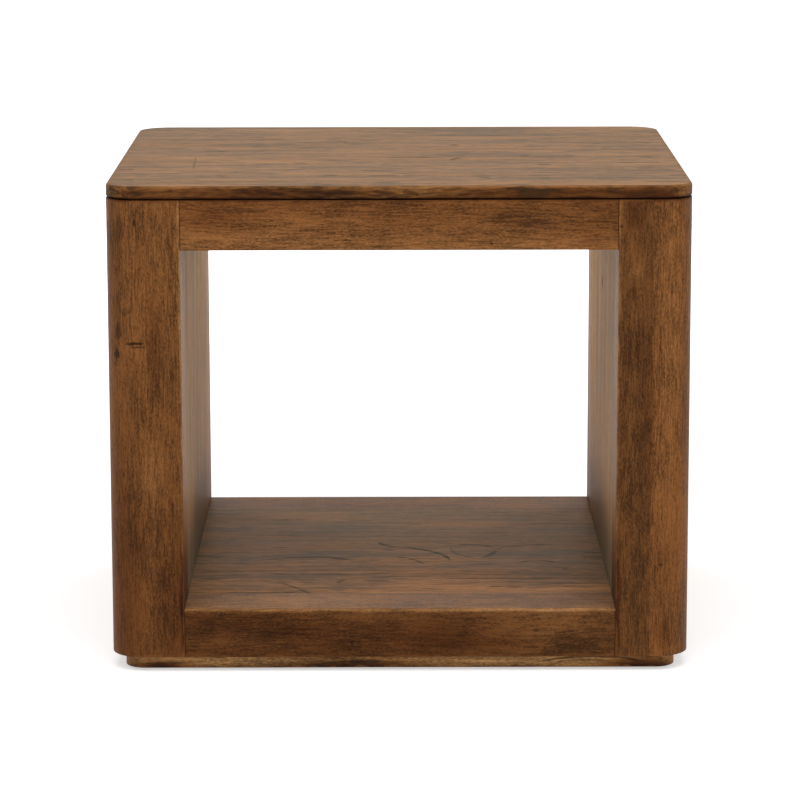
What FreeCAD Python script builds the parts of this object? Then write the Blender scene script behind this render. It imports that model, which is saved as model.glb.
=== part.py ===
"""End table with an open cubby and a shelf, built from glued and doweled wooden pieces.

Frame: +Z up, +X to the right of someone who faces the open front, front towards -Y.
The origin is on the floor, in the middle of the table's footprint. Millimetres.
"""

import FreeCAD, Part
import os

from FreeCAD import Vector

# ---------------------------------------------------------------- overall size
WIDTH = 660.0
DEPTH = 610.0
HEIGHT = 559.0
CORNER_RADIUS = 38.0

# ------------------------------------------------------------------- table top
TOP_THICKNESS = 16.0
TOP_EDGE_ROUND = 3.0
SHADOW_GAP_HEIGHT = 2.0
SHADOW_GAP_DEPTH = 8.0
TOP_BOARD_MIX = (4, 6, 5, 9, 8)
TOP_BATTEN_WIDTH = 50.0
TOP_BATTEN_HEIGHT = 25.0
TOP_BATTEN_SPACING = 280.0

# ------------------------------------------------------------ posts and rails
POST_WIDTH = 84.5
POST_DEPTH = 76.0
OUTER_STAVE_WIDTH = 45.5
TOP_RAIL_HEIGHT = 56.4
BOTTOM_RAIL_HEIGHT = 56.5
SHELF_EDGE_ROUND = 4.0

# ---------------------------------------------------------------- side walls
PANEL_THICKNESS = 18.0
PANEL_BOARD_COUNT = 3
TONGUE_THICKNESS = 6.0
TONGUE_LENGTH = 8.0
WALL_RAIL_HEIGHT = 60.0
WALL_STUD_WIDTH = 60.0

# -------------------------------------------------------------------- shelf
SHELF_THICKNESS = 18.0
SHELF_BOARD_MIX = (5, 14, 9, 4)
CLEAT_WIDTH = 20.0
CLEAT_HEIGHT = 30.0
SHELF_BATTEN_WIDTH = 45.0

# ------------------------------------------------------------------- plinth
PLINTH_HEIGHT = 16.2
PLINTH_RECESS = 14.5
PLINTH_RAIL_WIDTH = 60.0
PLINTH_EDGE_ROUND = 1.5
GLIDE_THICKNESS = 1.5
GLIDE_RADIUS = 15.0
GLIDE_INSET = 22.0

# ------------------------------------------------------- dowels and screws
DOWEL_RADIUS = 5.0
DOWEL_REACH = 20.0
RAIL_DOWEL_SPACING = 44.0
WALL_DOWEL_SPACING = 30.0
SCREW_RADIUS = 2.0
SCREW_HEAD_RADIUS = 4.0
SCREW_HEAD_HEIGHT = 3.0
TOP_SCREW_BITE = 10.0
TOP_SCREW_SPACING = 180.0
SHELF_SCREW_BITE = 12.0
CLEAT_SCREW_BITE = 11.0
CLEAT_SCREW_SPACING = 170.0
PLINTH_SCREW_BITE = 25.0
PLINTH_SCREW_SPACING = 240.0
RAIL_COUNTERBORE_DEPTH = 28.0
FIT_GAP = 0.1
HOLE_END_GAP = 0.5

# ------------------------------------------------------------- derived places
HALF_WIDTH = WIDTH / 2
HALF_DEPTH = DEPTH / 2
HALF_OPENING = HALF_WIDTH - POST_WIDTH
SEAM_X = HALF_WIDTH - OUTER_STAVE_WIDTH
WALL_Y = HALF_DEPTH - POST_DEPTH
INNER_PANEL_BACK_X = HALF_OPENING + PANEL_THICKNESS
OUTER_PANEL_BACK_X = HALF_WIDTH - PANEL_THICKNESS
BASE_Z = GLIDE_THICKNESS + PLINTH_HEIGHT
SHELF_Z = BASE_Z + BOTTOM_RAIL_HEIGHT
SHELF_UNDER_Z = SHELF_Z - SHELF_THICKNESS
TOP_UNDER_Z = HEIGHT - TOP_THICKNESS
TOP_RAIL_UNDER_Z = TOP_UNDER_Z - TOP_RAIL_HEIGHT
PLINTH_HALF_WIDTH = HALF_WIDTH - PLINTH_RECESS
PLINTH_HALF_DEPTH = HALF_DEPTH - PLINTH_RECESS
PLINTH_MID_X = PLINTH_HALF_WIDTH - PLINTH_RAIL_WIDTH / 2
PLINTH_MID_Y = PLINTH_HALF_DEPTH - PLINTH_RAIL_WIDTH / 2

SIDES = (("left", -1), ("right", 1))
ENDS = (("front", -1), ("back", 1))
UP = Vector(0, 0, 1)
SAME_PLACE = 1e-6

parts = {}


# ------------------------------------------------------------------- helpers
def block(x_range, y_range, z_range):
    """Box between two limits on each axis, given in either order."""
    x0, x1 = sorted(x_range)
    y0, y1 = sorted(y_range)
    z0, z1 = sorted(z_range)
    return Part.makeBox(x1 - x0, y1 - y0, z1 - z0, Vector(x0, y0, z0))


def outline_block(half_width, half_depth, radius, z_range):
    """Centred block whose four upright corners are rounded."""
    solid = block((-half_width, half_width), (-half_depth, half_depth), z_range)
    uprights = [edge for edge in solid.Edges if edge.BoundBox.ZLength > SAME_PLACE]
    return solid.makeFillet(radius, uprights)


def edges_at_height(solid, z):
    """Edges that lie whole at one height."""
    level = [edge for edge in solid.Edges if edge.BoundBox.ZLength < SAME_PLACE]
    return [edge for edge in level if abs(edge.BoundBox.ZMin - z) < SAME_PLACE]


def edges_along_face(edges, y):
    """Edges, out of those given, that lie whole in one plane across the depth."""
    boxes = [(edge, edge.BoundBox) for edge in edges]
    return [edge for edge, box in boxes if max(abs(box.YMin - y), abs(box.YMax - y)) < SAME_PLACE]


def seams(start, length, mix):
    """Places of the edges of boards with the given relative widths, first to last."""
    places = [start]
    for share in mix:
        places.append(places[-1] + length * share / sum(mix))
    return places


def drill(node, *cutters):
    """Cut holes or grooves out of a node that is already built."""
    parts[node] = parts[node].cut(list(cutters))


def dowel(centre, along):
    """Dowel that reaches the same way into both pieces of a joint."""
    start = centre - along * DOWEL_REACH
    return Part.makeCylinder(DOWEL_RADIUS, 2 * DOWEL_REACH, start, along)


def dowel_hole(centre, along):
    """Hole for a dowel, as two blind bores that share one axis."""
    reach = DOWEL_REACH + HOLE_END_GAP
    start = centre - along * reach
    return Part.makeCylinder(DOWEL_RADIUS + FIT_GAP, 2 * reach, start, along)


def screw(head_face, along, length):
    """Countersunk screw whose head lies flush with the face that it enters."""
    head = Part.makeCone(SCREW_HEAD_RADIUS, SCREW_RADIUS, SCREW_HEAD_HEIGHT, head_face, along)
    shank_length = length - SCREW_HEAD_HEIGHT
    shank = Part.makeCylinder(SCREW_RADIUS, shank_length, head_face + along * SCREW_HEAD_HEIGHT, along)
    return head.fuse(shank).removeSplitter()


def screw_hole(head_face, along, length):
    """Countersink and bore for one screw, with the fit gap all round and at the tip."""
    head = Part.makeCone(
        SCREW_HEAD_RADIUS + FIT_GAP, SCREW_RADIUS + FIT_GAP, SCREW_HEAD_HEIGHT, head_face, along
    )
    bore = Part.makeCylinder(SCREW_RADIUS + FIT_GAP, length + HOLE_END_GAP, head_face, along)
    return head.fuse(bore).removeSplitter()


def board_centres(edges, low, high):
    """Middles of the boards' widths that lie between two limits, for one screw in each."""
    centres = []
    for first, second in zip(edges, edges[1:]):
        near = max(first, low)
        far = min(second, high)
        if far - near > 4 * SCREW_HEAD_RADIUS:
            centres.append((near + far) / 2)
    return centres


# ------------------------------------------------------------------ the top
def make_top():
    """Five edge-glued boards with a rounded upper edge and a shadow gap under the rim."""
    slab = outline_block(HALF_WIDTH, HALF_DEPTH, CORNER_RADIUS, (TOP_UNDER_Z, HEIGHT))
    slab = slab.makeFillet(TOP_EDGE_ROUND, edges_at_height(slab, HEIGHT))
    gap_top = TOP_UNDER_Z + SHADOW_GAP_HEIGHT
    rim = outline_block(HALF_WIDTH, HALF_DEPTH, CORNER_RADIUS, (TOP_UNDER_Z, gap_top))
    core = outline_block(
        HALF_WIDTH - SHADOW_GAP_DEPTH,
        HALF_DEPTH - SHADOW_GAP_DEPTH,
        CORNER_RADIUS - SHADOW_GAP_DEPTH,
        (TOP_UNDER_Z, gap_top),
    )
    slab = slab.cut(rim.cut(core))
    edges = seams(-HALF_DEPTH, DEPTH, TOP_BOARD_MIX)
    for number, y_range in enumerate(zip(edges, edges[1:]), start=1):
        cell = block((-HALF_WIDTH, HALF_WIDTH), y_range, (TOP_UNDER_Z, HEIGHT))
        parts[f"top_board_{number}"] = slab.common(cell)
    return edges


def make_top_battens():
    """Two battens under the top, between the top rails, that keep the boards flat."""
    for side, sign in SIDES:
        middle = sign * TOP_BATTEN_SPACING / 2
        x_range = (middle - TOP_BATTEN_WIDTH / 2, middle + TOP_BATTEN_WIDTH / 2)
        z_range = (TOP_UNDER_Z - TOP_BATTEN_HEIGHT, TOP_UNDER_Z)
        parts[f"top_batten_{side}"] = block(x_range, (-WALL_Y, WALL_Y), z_range)


# --------------------------------------------------------- posts and rails
def make_posts():
    """Four posts, each glued from an outer stave with the round corner and an inner stave."""
    z_range = (BASE_Z, TOP_UNDER_Z)
    frame = outline_block(HALF_WIDTH, HALF_DEPTH, CORNER_RADIUS, z_range)
    for end, y_sign in ENDS:
        y_range = (y_sign * WALL_Y, y_sign * HALF_DEPTH)
        for side, x_sign in SIDES:
            outer = block((x_sign * SEAM_X, x_sign * HALF_WIDTH), y_range, z_range)
            inner = block((x_sign * HALF_OPENING, x_sign * SEAM_X), y_range, z_range)
            parts[f"post_{end}_{side}_outer"] = frame.common(outer)
            parts[f"post_{end}_{side}_inner"] = inner


def make_rails():
    """Top and bottom rails at the front and back; the bottom ones carry the shelf's edge."""
    x_range = (-HALF_OPENING, HALF_OPENING)
    for end, y_sign in ENDS:
        y_range = (y_sign * WALL_Y, y_sign * HALF_DEPTH)
        parts[f"top_rail_{end}"] = block(x_range, y_range, (TOP_RAIL_UNDER_Z, TOP_UNDER_Z))
        rail = block(x_range, y_range, (BASE_Z, SHELF_Z))
        lip = edges_along_face(edges_at_height(rail, SHELF_Z), y_sign * HALF_DEPTH)
        parts[f"bottom_rail_{end}"] = rail.makeFillet(SHELF_EDGE_ROUND, lip)


def make_rail_dowels():
    """Dowels that join each rail's two ends to the inner staves of the posts."""
    dowels = []
    heights = {
        "top": (TOP_RAIL_UNDER_Z + TOP_UNDER_Z) / 2,
        "bottom": (BASE_Z + SHELF_Z) / 2,
    }
    for level, z in heights.items():
        for end, y_sign in ENDS:
            for side, x_sign in SIDES:
                for step in (-1, 1):
                    y = y_sign * (WALL_Y + HALF_DEPTH) / 2 + step * RAIL_DOWEL_SPACING / 2
                    centre = Vector(x_sign * HALF_OPENING, y, z)
                    along = Vector(1, 0, 0)
                    hole = dowel_hole(centre, along)
                    drill(f"{level}_rail_{end}", hole)
                    drill(f"post_{end}_{side}_inner", hole)
                    dowels.append(dowel(centre, along))
    parts["rail_dowels"] = Part.makeCompound(dowels)


# ---------------------------------------------------------------- side walls
def make_panel(side, x_sign, layer, face_x, back_x):
    """One panel of upright boards, tongued into the posts at both of its ends."""
    edges = seams(-WALL_Y, 2 * WALL_Y, (1,) * PANEL_BOARD_COUNT)
    z_range = (BASE_Z, TOP_UNDER_Z)
    middle_x = x_sign * (face_x + back_x) / 2
    x_range = (x_sign * face_x, x_sign * back_x)
    for number, y_range in enumerate(zip(edges, edges[1:]), start=1):
        parts[f"{side}_{layer}_panel_{number}"] = block(x_range, y_range, z_range)
    for end, y_sign in ENDS:
        number = 1 if end == "front" else PANEL_BOARD_COUNT
        joint_y = y_sign * WALL_Y
        half = TONGUE_THICKNESS / 2
        tongue = block(
            (middle_x - half, middle_x + half), (joint_y, joint_y + y_sign * TONGUE_LENGTH), z_range
        )
        node = f"{side}_{layer}_panel_{number}"
        parts[node] = parts[node].fuse(tongue).removeSplitter()
        reach = TONGUE_LENGTH + HOLE_END_GAP
        groove = block(
            (middle_x - half - FIT_GAP, middle_x + half + FIT_GAP),
            (joint_y, joint_y + y_sign * reach),
            z_range,
        )
        drill(f"post_{end}_{side}_{layer}", groove)


def make_walls():
    """Hollow side walls: an inner and an outer panel on a core of rails and a stud."""
    top_rail_z = (TOP_UNDER_Z - WALL_RAIL_HEIGHT, TOP_UNDER_Z)
    bottom_rail_z = (BASE_Z, BASE_Z + WALL_RAIL_HEIGHT)
    for side, x_sign in SIDES:
        make_panel(side, x_sign, "inner", HALF_OPENING, INNER_PANEL_BACK_X)
        make_panel(side, x_sign, "outer", HALF_WIDTH, OUTER_PANEL_BACK_X)
        core_x = (x_sign * INNER_PANEL_BACK_X, x_sign * OUTER_PANEL_BACK_X)
        parts[f"{side}_wall_rail_top"] = block(core_x, (-WALL_Y, WALL_Y), top_rail_z)
        parts[f"{side}_wall_rail_bottom"] = block(core_x, (-WALL_Y, WALL_Y), bottom_rail_z)
        stud_y = (-WALL_STUD_WIDTH / 2, WALL_STUD_WIDTH / 2)
        parts[f"{side}_wall_stud"] = block(core_x, stud_y, (bottom_rail_z[1], top_rail_z[0]))


def make_wall_dowels():
    """Dowels that join each wall rail's two ends to the outer staves of the posts."""
    dowels = []
    heights = {
        "top": TOP_UNDER_Z - WALL_RAIL_HEIGHT / 2,
        "bottom": BASE_Z + WALL_RAIL_HEIGHT / 2,
    }
    for side, x_sign in SIDES:
        x = x_sign * (SEAM_X + OUTER_PANEL_BACK_X) / 2
        for level, middle_z in heights.items():
            for end, y_sign in ENDS:
                for step in (-1, 1):
                    centre = Vector(x, y_sign * WALL_Y, middle_z + step * WALL_DOWEL_SPACING / 2)
                    along = Vector(0, 1, 0)
                    hole = dowel_hole(centre, along)
                    drill(f"{side}_wall_rail_{level}", hole)
                    drill(f"post_{end}_{side}_outer", hole)
                    dowels.append(dowel(centre, along))
    parts["wall_dowels"] = Part.makeCompound(dowels)


# -------------------------------------------------------------------- shelf
def make_shelf():
    """Four edge-glued shelf boards, flush with the bottom rails, on cleats and a batten."""
    edges = seams(-WALL_Y, 2 * WALL_Y, SHELF_BOARD_MIX)
    for number, y_range in enumerate(zip(edges, edges[1:]), start=1):
        parts[f"shelf_board_{number}"] = block(
            (-HALF_OPENING, HALF_OPENING), y_range, (SHELF_UNDER_Z, SHELF_Z)
        )
    cleat_z = (SHELF_UNDER_Z - CLEAT_HEIGHT, SHELF_UNDER_Z)
    for side, x_sign in SIDES:
        cleat_x = (x_sign * (HALF_OPENING - CLEAT_WIDTH), x_sign * HALF_OPENING)
        parts[f"shelf_cleat_{side}"] = block(cleat_x, (-WALL_Y, WALL_Y), cleat_z)
    batten_x = (-SHELF_BATTEN_WIDTH / 2, SHELF_BATTEN_WIDTH / 2)
    parts["shelf_batten"] = block(batten_x, (-WALL_Y, WALL_Y), cleat_z)
    return edges


def make_shelf_screws(edges):
    """Screws up through the cleats and the batten, one into each shelf board."""
    screws = []
    length = CLEAT_HEIGHT + SHELF_SCREW_BITE
    carriers = {
        "shelf_cleat_left": -(HALF_OPENING - CLEAT_WIDTH / 2),
        "shelf_batten": 0.0,
        "shelf_cleat_right": HALF_OPENING - CLEAT_WIDTH / 2,
    }
    for number, y_range in enumerate(zip(edges, edges[1:]), start=1):
        for carrier, x in carriers.items():
            start = Vector(x, sum(y_range) / 2, SHELF_UNDER_Z - CLEAT_HEIGHT)
            hole = screw_hole(start, UP, length)
            drill(carrier, hole)
            drill(f"shelf_board_{number}", hole)
            screws.append(screw(start, UP, length))
    parts["shelf_screws"] = Part.makeCompound(screws)


def make_cleat_screws():
    """Screws sideways through each cleat into the boards of the inner panel."""
    screws = []
    board_length = 2 * WALL_Y / PANEL_BOARD_COUNT
    length = CLEAT_WIDTH + CLEAT_SCREW_BITE
    z = SHELF_UNDER_Z - CLEAT_HEIGHT / 2
    for side, x_sign in SIDES:
        along = Vector(x_sign, 0, 0)
        for y in (-CLEAT_SCREW_SPACING, 0.0, CLEAT_SCREW_SPACING):
            start = Vector(x_sign * (HALF_OPENING - CLEAT_WIDTH), y, z)
            hole = screw_hole(start, along, length)
            number = int((y + WALL_Y) // board_length) + 1
            drill(f"shelf_cleat_{side}", hole)
            drill(f"{side}_inner_panel_{number}", hole)
            screws.append(screw(start, along, length))
    parts["cleat_screws"] = Part.makeCompound(screws)


# --------------------------------------------------------- screws of the top
def make_top_screws(edges):
    """Screws up into the top: through the top rails from counterbores, and through the battens."""
    rail_screws = []
    grip = TOP_RAIL_HEIGHT - RAIL_COUNTERBORE_DEPTH
    length = grip + TOP_SCREW_BITE
    boards = {"front": "top_board_1", "back": f"top_board_{len(TOP_BOARD_MIX)}"}
    for end, y_sign in ENDS:
        y = y_sign * (WALL_Y + HALF_DEPTH) / 2
        for x in (-TOP_SCREW_SPACING, 0.0, TOP_SCREW_SPACING):
            mouth = Vector(x, y, TOP_RAIL_UNDER_Z)
            start = mouth + UP * RAIL_COUNTERBORE_DEPTH
            hole = screw_hole(start, UP, length)
            well = Part.makeCylinder(SCREW_HEAD_RADIUS + FIT_GAP, RAIL_COUNTERBORE_DEPTH, mouth, UP)
            drill(f"top_rail_{end}", hole, well)
            drill(boards[end], hole)
            rail_screws.append(screw(start, UP, length))
    parts["top_rail_screws"] = Part.makeCompound(rail_screws)

    batten_screws = []
    length = TOP_BATTEN_HEIGHT + TOP_SCREW_BITE
    for side, x_sign in SIDES:
        for y in board_centres(edges, -WALL_Y, WALL_Y):
            start = Vector(x_sign * TOP_BATTEN_SPACING / 2, y, TOP_UNDER_Z - TOP_BATTEN_HEIGHT)
            hole = screw_hole(start, UP, length)
            number = sum(1 for edge in edges[:-1] if edge < y)
            drill(f"top_batten_{side}", hole)
            drill(f"top_board_{number}", hole)
            batten_screws.append(screw(start, UP, length))
    parts["top_batten_screws"] = Part.makeCompound(batten_screws)


# ------------------------------------------------------------------- plinth
def make_plinth():
    """Set-back base frame with round corners, under the posts, rails and walls."""
    z_range = (GLIDE_THICKNESS, BASE_Z)
    radius = CORNER_RADIUS - PLINTH_RECESS
    frame = outline_block(PLINTH_HALF_WIDTH, PLINTH_HALF_DEPTH, radius, z_range)
    frame = frame.makeFillet(PLINTH_EDGE_ROUND, edges_at_height(frame, GLIDE_THICKNESS))
    inner_x = PLINTH_HALF_WIDTH - PLINTH_RAIL_WIDTH
    inner_y = PLINTH_HALF_DEPTH - PLINTH_RAIL_WIDTH
    for end, y_sign in ENDS:
        cell = block(
            (-PLINTH_HALF_WIDTH, PLINTH_HALF_WIDTH), (y_sign * inner_y, y_sign * PLINTH_HALF_DEPTH), z_range
        )
        parts[f"plinth_{end}"] = frame.common(cell)
    for side, x_sign in SIDES:
        cell = block((x_sign * inner_x, x_sign * PLINTH_HALF_WIDTH), (-inner_y, inner_y), z_range)
        parts[f"plinth_{side}"] = frame.common(cell)


def make_glides():
    """Felt glides under the plinth's corners, which the table stands on."""
    for end, y_sign in ENDS:
        for side, x_sign in SIDES:
            x = x_sign * (PLINTH_HALF_WIDTH - GLIDE_INSET)
            centre = Vector(x, y_sign * PLINTH_MID_Y, 0)
            parts[f"glide_{end}_{side}"] = Part.makeCylinder(GLIDE_RADIUS, GLIDE_THICKNESS, centre, UP)


def make_plinth_screws():
    """Screws up through the plinth into the posts, the bottom rails and the wall rails."""
    screws = []
    length = PLINTH_HEIGHT + PLINTH_SCREW_BITE
    post_x = (HALF_OPENING + SEAM_X) / 2
    places = []
    for end, y_sign in ENDS:
        y = y_sign * PLINTH_MID_Y
        for side, x_sign in SIDES:
            places.append((f"plinth_{end}", f"post_{end}_{side}_inner", x_sign * post_x, y))
            places.append((f"plinth_{end}", f"bottom_rail_{end}", x_sign * PLINTH_SCREW_SPACING / 2, y))
    for side, x_sign in SIDES:
        for step in (-1, 1):
            y = step * PLINTH_SCREW_SPACING / 2
            places.append((f"plinth_{side}", f"{side}_wall_rail_bottom", x_sign * PLINTH_MID_X, y))
    for plinth_node, upper_node, x, y in places:
        start = Vector(x, y, GLIDE_THICKNESS)
        hole = screw_hole(start, UP, length)
        drill(plinth_node, hole)
        drill(upper_node, hole)
        screws.append(screw(start, UP, length))
    parts["plinth_screws"] = Part.makeCompound(screws)


# --------------------------------------------------------------------- build
def build():
    """Make every piece, then join neighbours with their dowels and screws."""
    top_edges = make_top()
    make_top_battens()
    make_posts()
    make_rails()
    make_walls()
    shelf_edges = make_shelf()
    make_plinth()
    make_glides()
    make_rail_dowels()
    make_wall_dowels()
    make_top_screws(top_edges)
    make_shelf_screws(shelf_edges)
    make_cleat_screws()
    make_plinth_screws()


def write_parts():
    """Write one STEP file per node and say what each one holds."""
    os.makedirs("parts", exist_ok=True)
    for node, shape in parts.items():
        if not shape.isValid():
            raise ValueError(f"{node} is not a valid shape")
        shape.exportStep(f"parts/{node}.step")
        print(f"{node}: {len(shape.Solids)} solid(s), {shape.Volume / 1000:.1f} cm3")
    print(f"{len(parts)} nodes")


build()
write_parts()
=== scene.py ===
"""Dressed model of a wooden end table with an open cubby over a low shelf.

Everything is in metres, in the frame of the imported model: +Z up, front towards -Y, origin on
the floor in the middle of the table's footprint.
"""

import logging
import math
from collections.abc import Callable, Iterable, Sequence
from dataclasses import dataclass, replace
from enum import Enum
from itertools import product
from typing import Any, ClassVar

import bmesh
import bpy
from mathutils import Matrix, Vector


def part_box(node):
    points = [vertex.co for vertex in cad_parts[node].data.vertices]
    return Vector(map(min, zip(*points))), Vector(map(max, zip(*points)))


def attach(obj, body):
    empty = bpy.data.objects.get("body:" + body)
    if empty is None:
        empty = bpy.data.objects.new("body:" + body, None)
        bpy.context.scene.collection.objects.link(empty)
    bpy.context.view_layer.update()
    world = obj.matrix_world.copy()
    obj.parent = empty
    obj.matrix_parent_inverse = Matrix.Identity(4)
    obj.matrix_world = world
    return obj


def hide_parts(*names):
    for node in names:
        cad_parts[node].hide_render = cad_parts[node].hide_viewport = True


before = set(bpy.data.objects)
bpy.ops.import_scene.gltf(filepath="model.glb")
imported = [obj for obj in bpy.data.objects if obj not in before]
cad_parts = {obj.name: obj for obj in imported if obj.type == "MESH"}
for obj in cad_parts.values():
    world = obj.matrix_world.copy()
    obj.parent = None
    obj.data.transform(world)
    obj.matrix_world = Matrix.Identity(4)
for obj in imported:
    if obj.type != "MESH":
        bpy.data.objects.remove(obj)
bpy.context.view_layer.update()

LOG = logging.getLogger("end_table")
BODY = "root"

Socket = bpy.types.NodeSocket
Sockets = dict[str, Socket]
Node = bpy.types.Node
Material = bpy.types.Material
Piece = bpy.types.Object
Point = tuple[float, float]
Triple = tuple[float, float, float]
Colour = tuple[float, float, float, float]
Radii = tuple[float, float, float, float]
Box = tuple[Vector, Vector]


# ------------------------------------------------------------------ node graphs
class Graph:
    """Adds nodes to one node tree and joins them up."""

    def __init__(self, tree: bpy.types.NodeTree) -> None:
        """Start on a tree."""
        self.tree = tree

    def add(self, kind: str, **settings: Any) -> Node:
        """Add one node.

        Args:
            kind: Blender's name of the node type.
            settings: properties to set on it.

        Returns:
            The new node.
        """
        node = self.tree.nodes.new(kind)
        for name, value in settings.items():
            setattr(node, name, value)
        return node

    def feed(self, target: Socket, value: Any) -> None:
        """Give one input its value.

        Args:
            target: the input.
            value: an output to link to it, or a plain value to write on it.
        """
        if isinstance(value, bpy.types.NodeSocket):
            self.tree.links.new(value, target)
        else:
            target.default_value = value

    def fill(self, node: Node, *values: Any, **named: Any) -> Node:
        """Feed several inputs of a node.

        Args:
            node: the node.
            values: what its first inputs get, in their order.
            named: what other inputs get, with underscores for the blanks in their names.

        Returns:
            The same node.
        """
        for target, value in zip(node.inputs, values):
            self.feed(target, value)
        for name, value in named.items():
            self.feed(node.inputs[name.replace("_", " ")], value)
        return node

    def maths(self, operation: str, *values: Any, clamp: bool = False) -> Socket:
        """Add a Math node and return its output."""
        node = self.add("ShaderNodeMath", operation=operation, use_clamp=clamp)
        return self.fill(node, *values).outputs["Value"]

    def vector(self, operation: str, *values: Any) -> Socket:
        """Add a Vector Math node and return its vector output."""
        return self.fill(self.add("ShaderNodeVectorMath", operation=operation), *values).outputs["Vector"]

    def dot(self, first: Socket, second: Socket) -> Socket:
        """Return the dot product of two vectors."""
        node = self.add("ShaderNodeVectorMath", operation="DOT_PRODUCT")
        return self.fill(node, first, second).outputs["Value"]

    def split(self, vector: Socket) -> tuple[Socket, Socket, Socket]:
        """Return the three parts of a vector."""
        return tuple(self.fill(self.add("ShaderNodeSeparateXYZ"), vector).outputs)

    def join(self, x: Any, y: Any, z: Any) -> Socket:
        """Return a vector made of three parts."""
        return self.fill(self.add("ShaderNodeCombineXYZ"), x, y, z).outputs["Vector"]

    def noise(self, vector: Socket, scale: Any, detail: float = 2.0, roughness: float = 0.5) -> Socket:
        """Return a noise.

        Args:
            vector: the place where it is read.
            scale: about how many waves it has along each axis in one unit of the place.
            detail: how many finer layers it has.
            roughness: how strong each finer layer is.

        Returns:
            The noise, from 0 to 1.
        """
        scaled = self.vector("MULTIPLY", vector, scale)
        node = self.add("ShaderNodeTexNoise", noise_dimensions="3D")
        self.fill(node, Vector=scaled, Scale=1.0, Detail=detail, Roughness=roughness)
        return node.outputs["Fac"]

    def swing(self, noise: Socket, width: float) -> Socket:
        """Return a noise as a swing of that width round zero."""
        return self.maths("MULTIPLY_ADD", noise, width, -0.5 * width)

    def remap(self, value: Any, low: Any, high: Any, to_low: Any = 0.0, to_high: Any = 1.0) -> Socket:
        """Return a value moved smoothly from one range to another, held at its ends."""
        node = self.add("ShaderNodeMapRange", interpolation_type="SMOOTHSTEP")
        return self.fill(node, value, low, high, to_low, to_high).outputs["Result"]

    def blend(self, factor: Any, first: Any, second: Any, mode: str = "MIX") -> Socket:
        """Mix two colours.

        Args:
            factor: how much of the second shows.
            first: the first colour.
            second: the second colour.
            mode: Blender's name of the way they mix.

        Returns:
            The mixed colour.
        """
        node = self.add("ShaderNodeMix", data_type="RGBA", blend_type=mode)
        targets = {socket.identifier: socket for socket in node.inputs}
        for name, value in (("Factor_Float", factor), ("A_Color", first), ("B_Color", second)):
            self.feed(targets[name], value)
        return next(socket for socket in node.outputs if socket.identifier == "Result_Color")


@dataclass(frozen=True)
class SocketSpec:
    """One named socket of a node group."""

    name: str
    kind: str
    value: Any


def number(name: str, value: float = 0.0) -> SocketSpec:
    """Describe a plain number socket."""
    return SocketSpec(name, "NodeSocketFloat", value)


def place(name: str, value: Triple = (0.0, 0.0, 0.0)) -> SocketSpec:
    """Describe a vector socket."""
    return SocketSpec(name, "NodeSocketVector", value)


def colour(name: str, value: Colour = (0.5, 0.5, 0.5, 1.0)) -> SocketSpec:
    """Describe a colour socket."""
    return SocketSpec(name, "NodeSocketColor", value)


class EffectGroup:
    """A shader node group with named inputs and outputs, used by more than one material."""

    def __init__(
        self,
        name: str,
        inputs: Sequence[SocketSpec],
        outputs: Sequence[SocketSpec],
        make: Callable[[Graph, Sockets], Sockets],
    ) -> None:
        """Build the group.

        Args:
            name: the group's name.
            inputs: its input sockets, with their defaults.
            outputs: its output sockets.
            make: adds the inner nodes and returns what each output gets.
        """
        self.tree = bpy.data.node_groups.new(name, "ShaderNodeTree")
        for spec in inputs:
            socket = self.tree.interface.new_socket(spec.name, in_out="INPUT", socket_type=spec.kind)
            socket.default_value = spec.value
        for spec in outputs:
            self.tree.interface.new_socket(spec.name, in_out="OUTPUT", socket_type=spec.kind)
        graph = Graph(self.tree)
        entry = graph.add("NodeGroupInput")
        leave = graph.add("NodeGroupOutput")
        made = make(graph, {spec.name: entry.outputs[spec.name] for spec in inputs})
        for spec in outputs:
            graph.feed(leave.inputs[spec.name], made[spec.name])

    def use(self, graph: Graph, **values: Any) -> Node:
        """Place the group in a tree, feed its inputs by name and return its node."""
        return graph.fill(graph.add("ShaderNodeGroup", node_tree=self.tree), **values)


# ------------------------------------------------------------- shared effects
# Every effect takes the group's own graph and its input sockets, and returns what its outputs get.
BLACK_STAIN = (0.010, 0.005, 0.003, 1.0)
# How much faster red, green and blue fade as a patch gets darker, for stain and painted shade alike.
STAIN_DEPTHS = (1.0, 1.3, 1.65)
TONE_LAYERS = (("Mottle", 1.1), ("Cloud", 1.1), ("Streaks", 1.9), ("Dashes", 1.9), ("Band", 0.12))
RELIEF_LAYERS = (("Dashes", 0.4), ("Pores", -0.5), ("Line", -0.4), ("Spots", -0.5))
SEED_SHIFT = (3.17, 1.71, 0.93)
# Waves in a metre, along and across the grain.
SLOW_DRIFT = (4.0, 14.0, 14.0)
QUICK_DRIFT = (28.0, 90.0, 90.0)
PORE_SCALE = (210.0, 900.0, 900.0)
MOTTLE_SCALE = (5.0, 15.0, 15.0)
RING_DRIFT = (2.6, 11.0, 11.0)
RING_BREAKS = (9.0, 60.0, 60.0)
WEAR_PATCHES = (38.0, 38.0, 38.0)
SEAM_BREAKS = (60.0, 60.0, 60.0)
# Waves in the half size of a knot.
KNOT_RAGS = (0.9, 1.6, 1.6)


def moved_by_seed(graph: Graph, given: Sockets) -> Socket:
    """Move the given place by a seed, so that each board shows its own part of a pattern."""
    shifts = [graph.maths("MULTIPLY", given["Seed"], factor) for factor in SEED_SHIFT]
    return graph.vector("ADD", given["Vector"], graph.join(*shifts))


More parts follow.
